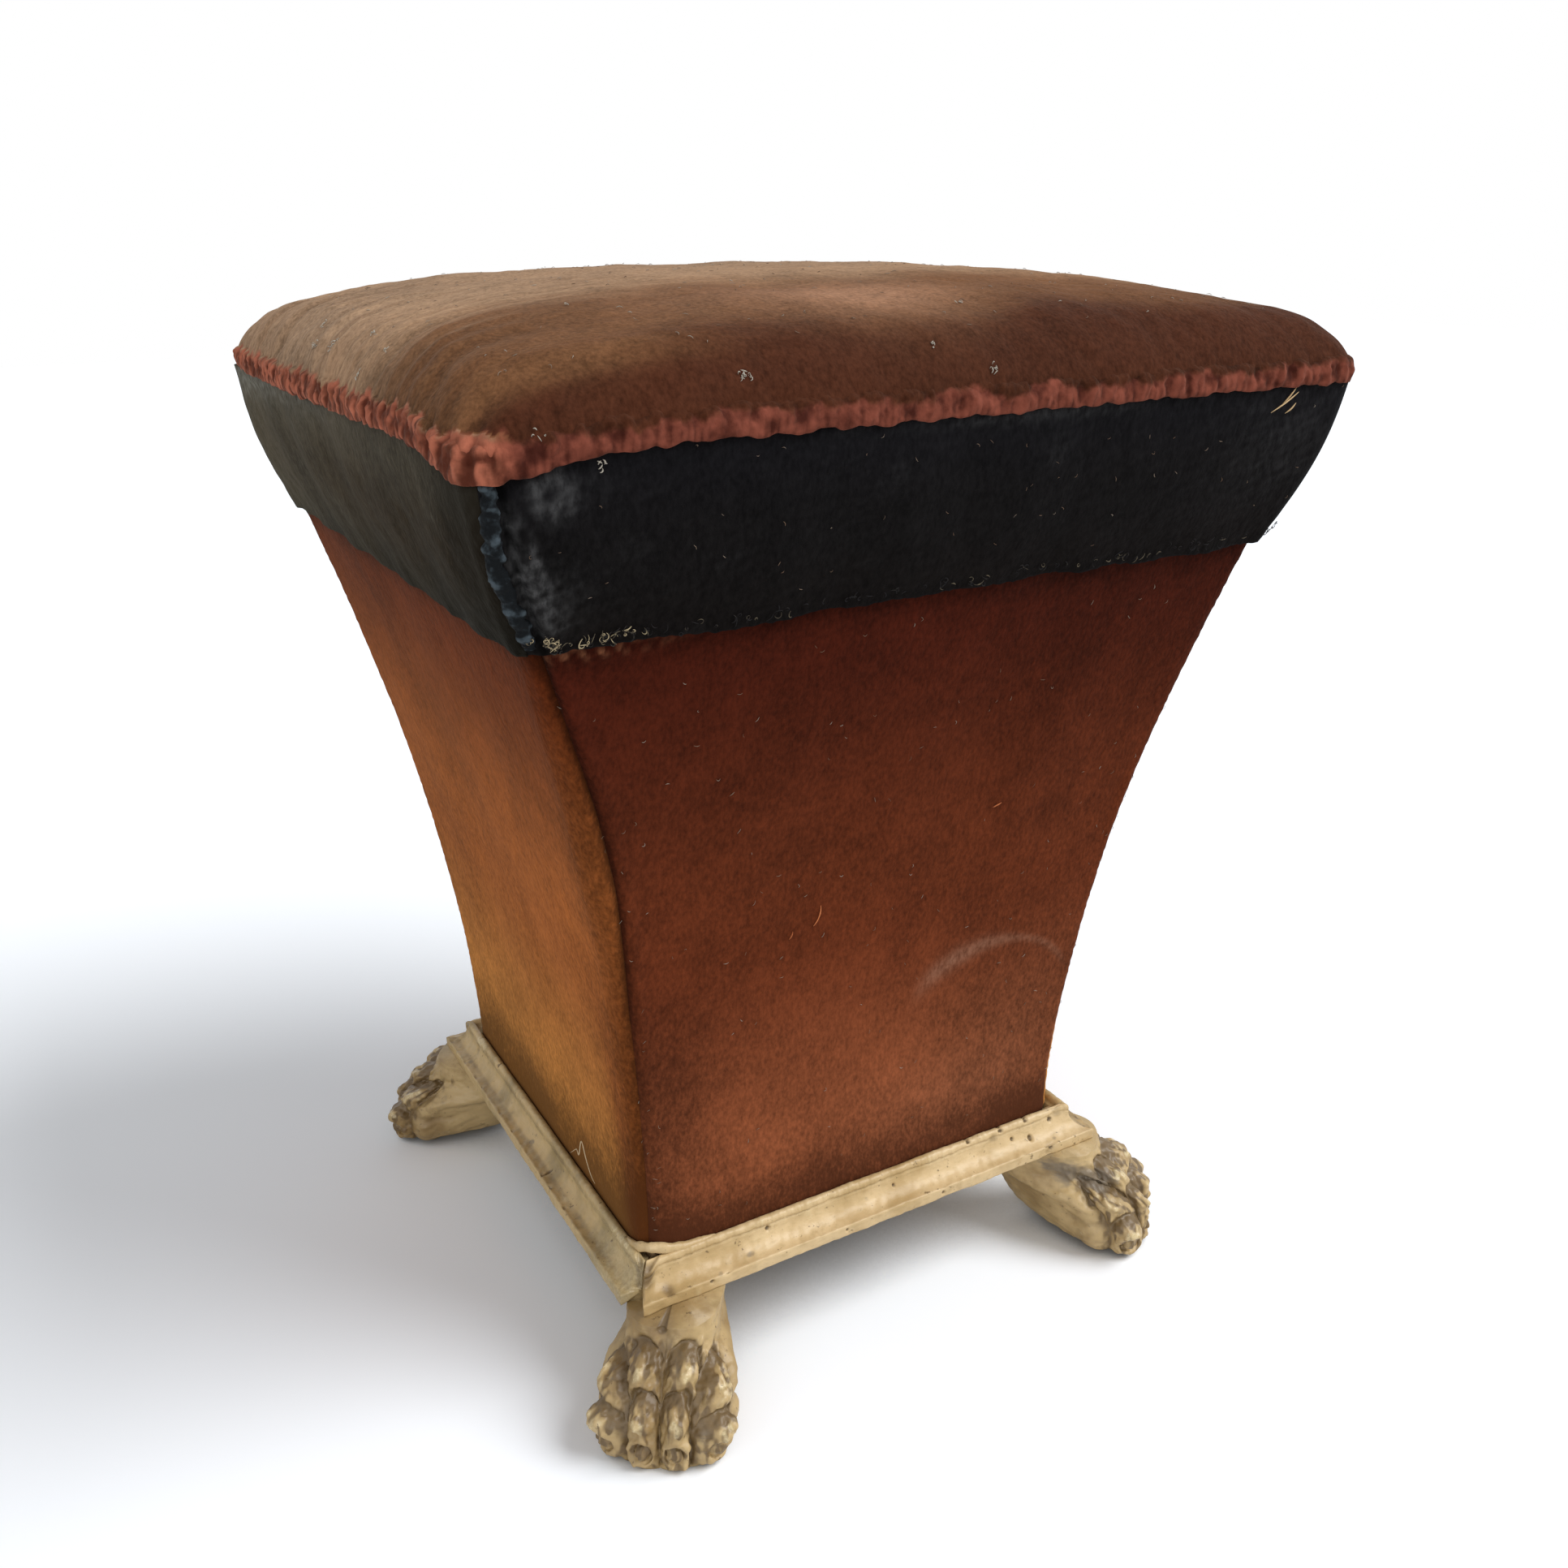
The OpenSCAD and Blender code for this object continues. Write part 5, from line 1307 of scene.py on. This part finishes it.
# Bits of lint that stand out on the seat: place, and how many threads lie there
LINT_PLACES = [(-0.184, 0.009, 0.458, 9), (-0.182, -0.015, 0.460, 10), (-0.177, 0.021, 0.466, 5),
               (-0.177, -0.057, 0.466, 6), (-0.180, -0.085, 0.463, 4), (-0.187, -0.074, 0.453, 7),
               (-0.166, -0.190, 0.445, 4), (0.003, -0.187, 0.453, 7), (-0.094, -0.185, 0.456, 11),
               (-0.020, -0.181, 0.461, 5), (-0.128, -0.123, 0.476, 3), (0.011, -0.155, 0.474, 3)]
# A direction that no thread follows
ASKEW = (0.31, 0.17, 0.93)
STRAWS = [(0.146, -0.19, 0.432), (0.1485, -0.19, 0.4345), (0.151, -0.19, 0.4300)]
RED_THREADS = [(-0.038, -0.14, 0.227), (-0.050, -0.14, 0.219), (0.052, -0.14, 0.262)]
BAND_LINT = (-0.146, -0.19, 0.4335)
# How many ends fray near the corner, and as many beyond it; how many fine bits of lint are strewn on
# the seat, the front and the band, and how many of the last lie together
FRAYED, SEAT_LINT, FRONT_LINT, BAND_LINTS, TOGETHER = 110, 260, 170, 60, 6
LOOSE_THREAD = [(-0.1235, -0.044, 0.0840), (-0.1225, -0.050, 0.0895), (-0.1235, -0.0545, 0.0930),
                (-0.1240, -0.0580, 0.0905), (-0.1238, -0.0610, 0.1005), (-0.1245, -0.0650, 0.1045),
                (-0.1245, -0.0685, 0.0965), (-0.1240, -0.0730, 0.0885), (-0.1235, -0.0760, 0.0865)]


def threads(name, paths, radius, tone, made, slot):
    """Many thin threads: four-sided tubes round paths, which are threads by points, and narrower
    towards both ends. tone is one number per thread for the material."""
    paths = np.asarray(paths, float)
    count, points = paths.shape[:2]
    ahead = unit(np.gradient(paths, axis=1))
    side = unit(np.cross(ahead, ASKEW))
    other = np.cross(ahead, side)
    turn = np.arange(4)[:, None] * QUARTER
    taper = np.clip(np.sin(math.pi * np.linspace(0, 1, points)), 0.12, 1) ** 0.5
    thick = (np.broadcast_to(radius, count)[:, None] * taper)[:, :, None, None]
    rings = paths[:, :, None] + thick * (side[:, :, None] * np.cos(turn) + other[:, :, None] * np.sin(turn))
    index = np.arange(count * points * 4).reshape(count, points, 4)
    after = np.roll(index, -1, 2)
    walls = np.stack([index[:, :-1], after[:, :-1], after[:, 1:], index[:, 1:]], -1).reshape(-1, 4)
    faces = np.concatenate([walls, index[:, 0, ::-1], index[:, -1]])
    piece = mesh_piece(name, rings.reshape(-1, 3), faces.ravel(), np.full(len(faces), 4))
    mark(piece, tone=np.repeat(np.broadcast_to(tone, count), points * 4))
    fit_out(piece, made, slot)


def lying(surface, places, length, lift, seed, points=7, heading=None, bend=1.0):
    """Paths of threads that lie on a surface: each starts at the surface's point nearest its place
    and wanders in the surface's plane, its heading turning at a steady random rate."""
    draw = np.random.default_rng(seed)
    spots, count = surface.reshape(-1, 3), len(places)
    along, up = np.gradient(surface, axis=1), np.gradient(surface, axis=0)
    near = np.array([np.argmin(((spots - place) ** 2).sum(-1)) for place in places])
    normal = unit(np.cross(along, up).reshape(-1, 3)[near])[:, None]
    first = unit(along.reshape(-1, 3)[near])[:, None]
    second = np.cross(normal, first)
    if heading is None:
        start = draw.uniform(0, 2 * math.pi, count)
    else:
        start = heading + draw.normal(0, 0.12, count)
    share = np.linspace(0, 1, points)
    angle = (start[:, None] + draw.normal(0, bend, count)[:, None] * share)[..., None]
    stride = (np.broadcast_to(length, count) * draw.uniform(0.6, 1.2, count) / (points - 1))[:, None, None]
    steps = stride * (np.cos(angle) * first + np.sin(angle) * second)
    hover = lift * (1 + 1.5 * np.sin(math.pi * share) * draw.uniform(0, 1, count)[:, None])
    middle = spots[near][:, None] - steps.sum(1, keepdims=True) / 2
    return middle + np.cumsum(steps, 1) + hover[..., None] * normal


def thread_material(name, dark, pale):
    """Fibre whose tone runs from dark to pale by its thread's own number and a fine noise."""
    made = Material(name, Roughness=0.85, Specular_IOR_Level=0.15)
    fibre = made.noise(made.place(), 900.0, 2.0)
    share = made.plus(made.mark("tone"), made.centred(fibre, 0.7))
    return made.finish(made.mix(made.ramp(share, 0.0, 1.0), dark, pale))


def whipping(made):
    """Turns of thread laid so close that they make one lumpy roll, flattened on the corner of the
    band. Its radius rises over every turn, which lies aslant, and wherever the thread is doubled."""
    share = np.linspace(0, 1, STITCH_ROWS)
    height = STITCH_TOP - (STITCH_TOP - STITCH_LOW) * share
    aside = smooth_shares(STITCH_HEIGHTS, STITCH_ASIDE, height)
    core = grid_of(*round_wall(aside, band_half(height), BAND_CORNER_R), height)
    lean = aside / BAND_CORNER_R - 0.75 * math.pi
    ways = roll_ways(core, grid_of(np.cos(lean), np.sin(lean), 0), STITCH_COLUMNS, 0.70, 1.05)
    wide = STITCH_THREAD * (1 + 0.32 * share) * np.sin(math.pi * np.clip(share, 0.012, 0.988)) ** 0.22
    grid = core[:, None] + wide[:, None, None] * ways
    turn = np.linspace(0, 2 * math.pi, STITCH_COLUMNS + 1)[:-1]
    phase = (2 * math.pi * STITCH_TURNS * share[:, None] + 1.5 * np.sin(turn)
             + 0.9 * ripple(grid, 0.010, 501))
    lumps = (0.00028 * np.cos(phase) + 0.00046 * ripple(grid, 0.0065, 503)
             + 0.00014 * ripple(grid, 0.0018, 505))
    grid = grid + lumps[..., None] * ways
    piece = skin("corner_stitches", grid, wrap=True, ends=(core[0], core[-1]))
    # Paler on the tops of the lumps: painted highlights on the dark thread
    mark(piece, tone=0.02 + 0.62 * step(lumps, 0.0, 0.0009) + 0.17 * ripple(grid, 0.009, 507)
         + 0.08 * ripple(grid, 0.0025, 509))
    fit_out(piece, made, "band_velvet")


whipping(thread_material("blue_black_thread", (0.0030, 0.0042, 0.0055, 1), (0.058, 0.077, 0.092, 1)))

draw = np.random.default_rng(521)
fray_x = np.concatenate([-0.174 + 0.045 * draw.uniform(0, 1, FRAYED) ** 1.4,
                         draw.uniform(-0.13, 0.18, FRAYED)])
fray_places = grid_of(fray_x, -0.186, BAND_LOW + draw.uniform(-0.002, 0.0010, 2 * FRAYED))
fray_tone = np.concatenate([draw.choice([0.05, 0.30, 0.70, 1.0], FRAYED, p=[0.45, 0.22, 0.18, 0.15]),
                            draw.choice([0.0, 0.25], FRAYED, p=[0.75, 0.25])])
fray = lying(surfaces["band_front"], fray_places, 0.0040, 0.0005, 523, 10, bend=4.0)
fray[..., 2] -= draw.uniform(0.0, 0.0016, (2 * FRAYED, 1))
threads("frayed_edge", fray, draw.uniform(0.00010, 0.00024, 2 * FRAYED), fray_tone,
        thread_material("frayed_thread", (0.012, 0.011, 0.012, 1), (0.42, 0.34, 0.21, 1)), "band_velvet")

# Three straws in the right end of the band, and red threads on the front
straws = lying(surfaces["band_front"], STRAWS, [0.017, 0.013, 0.009], 0.0006, 541, 9, 0.85, 0.12)
threads("straws", straws, 0.00033, [0.9, 0.7, 0.8],
        thread_material("straw", (0.20, 0.12, 0.05, 1), (0.62, 0.44, 0.24, 1)), "band_velvet")
red = lying(surfaces["body_front"], RED_THREADS, [0.0105, 0.006, 0.005], 0.0004, 547, 9, 0.85, 0.5)
threads("red_threads", red, 0.00030, [0.9, 0.5, 0.6],
        thread_material("red_thread", (0.25, 0.06, 0.02, 1), (0.60, 0.20, 0.075, 1)), "front_velvet")

# Lint: the bits that stand out, and fine ones strewn over the seat, the front and the band
lint_places = np.concatenate([np.array([place[:3]] * place[3]) + draw.normal(0, 0.0009, (place[3], 3))
                              for place in LINT_PLACES])
strewn = grid_of(draw.uniform(-0.18, 0.18, SEAT_LINT), draw.uniform(-0.185, 0.12, SEAT_LINT), 0.475)
lint_thick = [draw.uniform(0.00012, 0.00026, len(lint_places)), draw.uniform(0.00008, 0.00017, SEAT_LINT)]
lint_tone = [draw.uniform(0.55, 1.0, len(lint_places)), draw.uniform(0.05, 0.75, SEAT_LINT)]
body_places = grid_of(draw.uniform(-0.16, 0.16, FRONT_LINT), -0.15,
                      draw.uniform(0.08, 0.365, FRONT_LINT))
band_places = grid_of(draw.uniform(-0.17, 0.18, BAND_LINTS), -0.19,
                      draw.uniform(0.376, 0.437, BAND_LINTS))
band_places[:TOGETHER] = np.array(BAND_LINT) + draw.normal(0, 0.0007, (TOGETHER, 3))
lint_paths = [lying(surfaces["seat"], lint_places, 0.0021, 0.0004, 557, bend=4.5),
              lying(surfaces["seat"], strewn, 0.0021, 0.0003, 563, bend=1.5),
              lying(surfaces["body_front"], body_places, 0.0022, 0.0003, 569, bend=1.5),
              lying(surfaces["band_front"], band_places, 0.0018, 0.0003, 571, bend=1.8)]
lint_thick += [draw.uniform(0.00007, 0.00015, FRONT_LINT), np.full(TOGETHER, 0.00026),
               draw.uniform(0.00006, 0.00013, BAND_LINTS - TOGETHER)]
lint_tone += [draw.uniform(0.0, 0.55, FRONT_LINT), np.full(TOGETHER, 0.8),
              draw.uniform(0.0, 0.35, BAND_LINTS - TOGETHER)]
threads("lint", *map(np.concatenate, (lint_paths, lint_thick, lint_tone)),
        thread_material("lint", (0.16, 0.10, 0.065, 1), (0.44, 0.41, 0.35, 1)), "seat_velvet")

# A loose cream thread stands zigzag on the plinth at the left: straight from bend to bend, then each
# point averaged with its neighbours
loose = np.array([np.interp(np.linspace(0, 1, 60), np.linspace(0, 1, len(LOOSE_THREAD)), places)
                  for places in zip(*LOOSE_THREAD)])
loose = np.array([np.convolve(np.pad(places, 3, mode="edge"), np.full(7, 1 / 7), "valid")
                  for places in loose]).T
threads("loose_thread", loose[None], 0.00030, [0.8],
        thread_material("cream_thread", (0.38, 0.27, 0.14, 1), (0.62, 0.50, 0.32, 1)), "side_velvet")


# Dust cloth.
# Thin black cotton tacked under the base frame, its corners cut off to clear the feet.
DUST_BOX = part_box("dust_cloth")
DUST_CUT = 0.0885
DUST_T, DUST_ABOVE = 0.0005, 0.0003
dust_share = np.linspace(-1, 1, 70)
dust_x, dust_y = np.meshgrid(dust_share * DUST_BOX[1].x, dust_share * DUST_BOX[1].y)
# Points past the cut corners are drawn back onto the cut
dust_over = np.maximum(np.abs(dust_x) + np.abs(dust_y) - DUST_CUT * math.sqrt(2), 0) / 2
dust_x, dust_y = dust_x - np.sign(dust_x) * dust_over, dust_y - np.sign(dust_y) * dust_over
dust = skin("black_dust_cloth", grid_of(dust_x, dust_y, DUST_BOX[0].z + DUST_ABOVE)[::-1])
thickened(dust, DUST_T)
fit_out(dust, woven_cloth("black_cotton", 2600.0, (0.030, 0.027, 0.025, 1), (0.010, 0.009, 0.008, 1)),
        "dust_cloth", "dust_cloth")


# Room, lamps and camera.
# A pale floor under a white sky, one broad lamp high on the right and a weak one on the left, seen
# by a camera a little above the seat.
CAMERA_PLACE = (-0.31644, -0.59826, 0.50206)
CAMERA_YAW, CAMERA_DIP, CAMERA_ROLL = 0.5165, 0.3757, -0.0131
CAMERA_LENS, CAMERA_SENSOR = 32.767, 36
FLOOR_SIDE = 12
FLOOR_COLOUR = (0.80, 0.80, 0.80, 1)
FLOOR_SEEN = (1.03, 1.07, 1.12, 1)
SKY_LIGHT = 0.43
# The shadow close under the stool: how far it reaches, its darkest tone, and how open to the sky the
# floor is where the tone is darkest and where the shadow ends
CONTACT_REACH, CONTACT_TONE, CONTACT_SHUT, CONTACT_OPEN = 0.11, 0.34, 0.16, 0.42
SUN_PLACE, SUN_POWER, SUN_ANGLE = (0.95, -0.70, 1.20), 2.4, math.radians(38)
FILL_PLACE, FILL_POWER, FILL_ANGLE = (-0.9, -0.9, 0.5), 0.85, math.radians(60)

scene = bpy.context.scene
scene.view_settings.view_transform = "Standard"
stage = Material("pale_floor", Roughness=0.9, Specular_IOR_Level=0.0)
seen = stage.node("LightPath").outputs["Is Camera Ray"]
# The floor keeps a darker contact shadow close under the stool
near_stool = stage.node("AmbientOcclusion", {"Distance": CONTACT_REACH}, samples=12).outputs["AO"]
contact = stage.grey(stage.ramp(near_stool, CONTACT_SHUT, CONTACT_OPEN, CONTACT_TONE, 1.0))
bpy.ops.mesh.primitive_plane_add(size=FLOOR_SIDE)
floor = bpy.context.object
floor.name = "floor"
floor.data.materials.append(
    stage.finish(stage.mix(1.0, stage.mix(seen, FLOOR_COLOUR, FLOOR_SEEN), contact, "MULTIPLY")))

world = bpy.data.worlds.new("white_sky")
scene.world = world
world.use_nodes = True
sky = Tree(world.node_tree)
path = sky.node("LightPath").outputs
bright = sky.math("MAXIMUM", path["Is Camera Ray"], sky.math(
    "MAXIMUM", path["Is Glossy Ray"], path["Is Transmission Ray"]))
background = world.node_tree.nodes["Background"].inputs
sky.feed(sky.ramp(bright, 0.0, 1.0, SKY_LIGHT, 1.0), background["Strength"])
sky.feed((1, 1, 1, 1), background["Color"])


def lamp(name, place, power, angle):
    """Sun lamp that shines from a place towards the origin."""
    light = bpy.data.lights.new(name, "SUN")
    light.energy, light.angle = power, angle
    made = bpy.data.objects.new(name, light)
    towards = unit(-np.array(place))
    side = unit(np.cross(towards, (0, 0, 1)))
    made.matrix_world = Matrix(np.array([side, np.cross(side, towards), -towards]).T).to_4x4()
    scene.collection.objects.link(made)


lamp("sun", SUN_PLACE, SUN_POWER, SUN_ANGLE)
lamp("fill", FILL_PLACE, FILL_POWER, FILL_ANGLE)

ahead = np.array([math.sin(CAMERA_YAW) * math.cos(CAMERA_DIP),
                  math.cos(CAMERA_YAW) * math.cos(CAMERA_DIP), -math.sin(CAMERA_DIP)])
level_right = np.array([math.cos(CAMERA_YAW), -math.sin(CAMERA_YAW), 0])
level_up = np.cross(level_right, ahead)
right = math.cos(CAMERA_ROLL) * level_right + math.sin(CAMERA_ROLL) * level_up
up = math.cos(CAMERA_ROLL) * level_up - math.sin(CAMERA_ROLL) * level_right
camera_data = bpy.data.cameras.new("camera")
camera_data.lens, camera_data.sensor_width = CAMERA_LENS, CAMERA_SENSOR
camera = bpy.data.objects.new("camera", camera_data)
camera.matrix_world = Matrix.Translation(CAMERA_PLACE) @ Matrix(
    np.array([right, up, -ahead]).T).to_4x4()
scene.collection.objects.link(camera)
scene.camera = camera
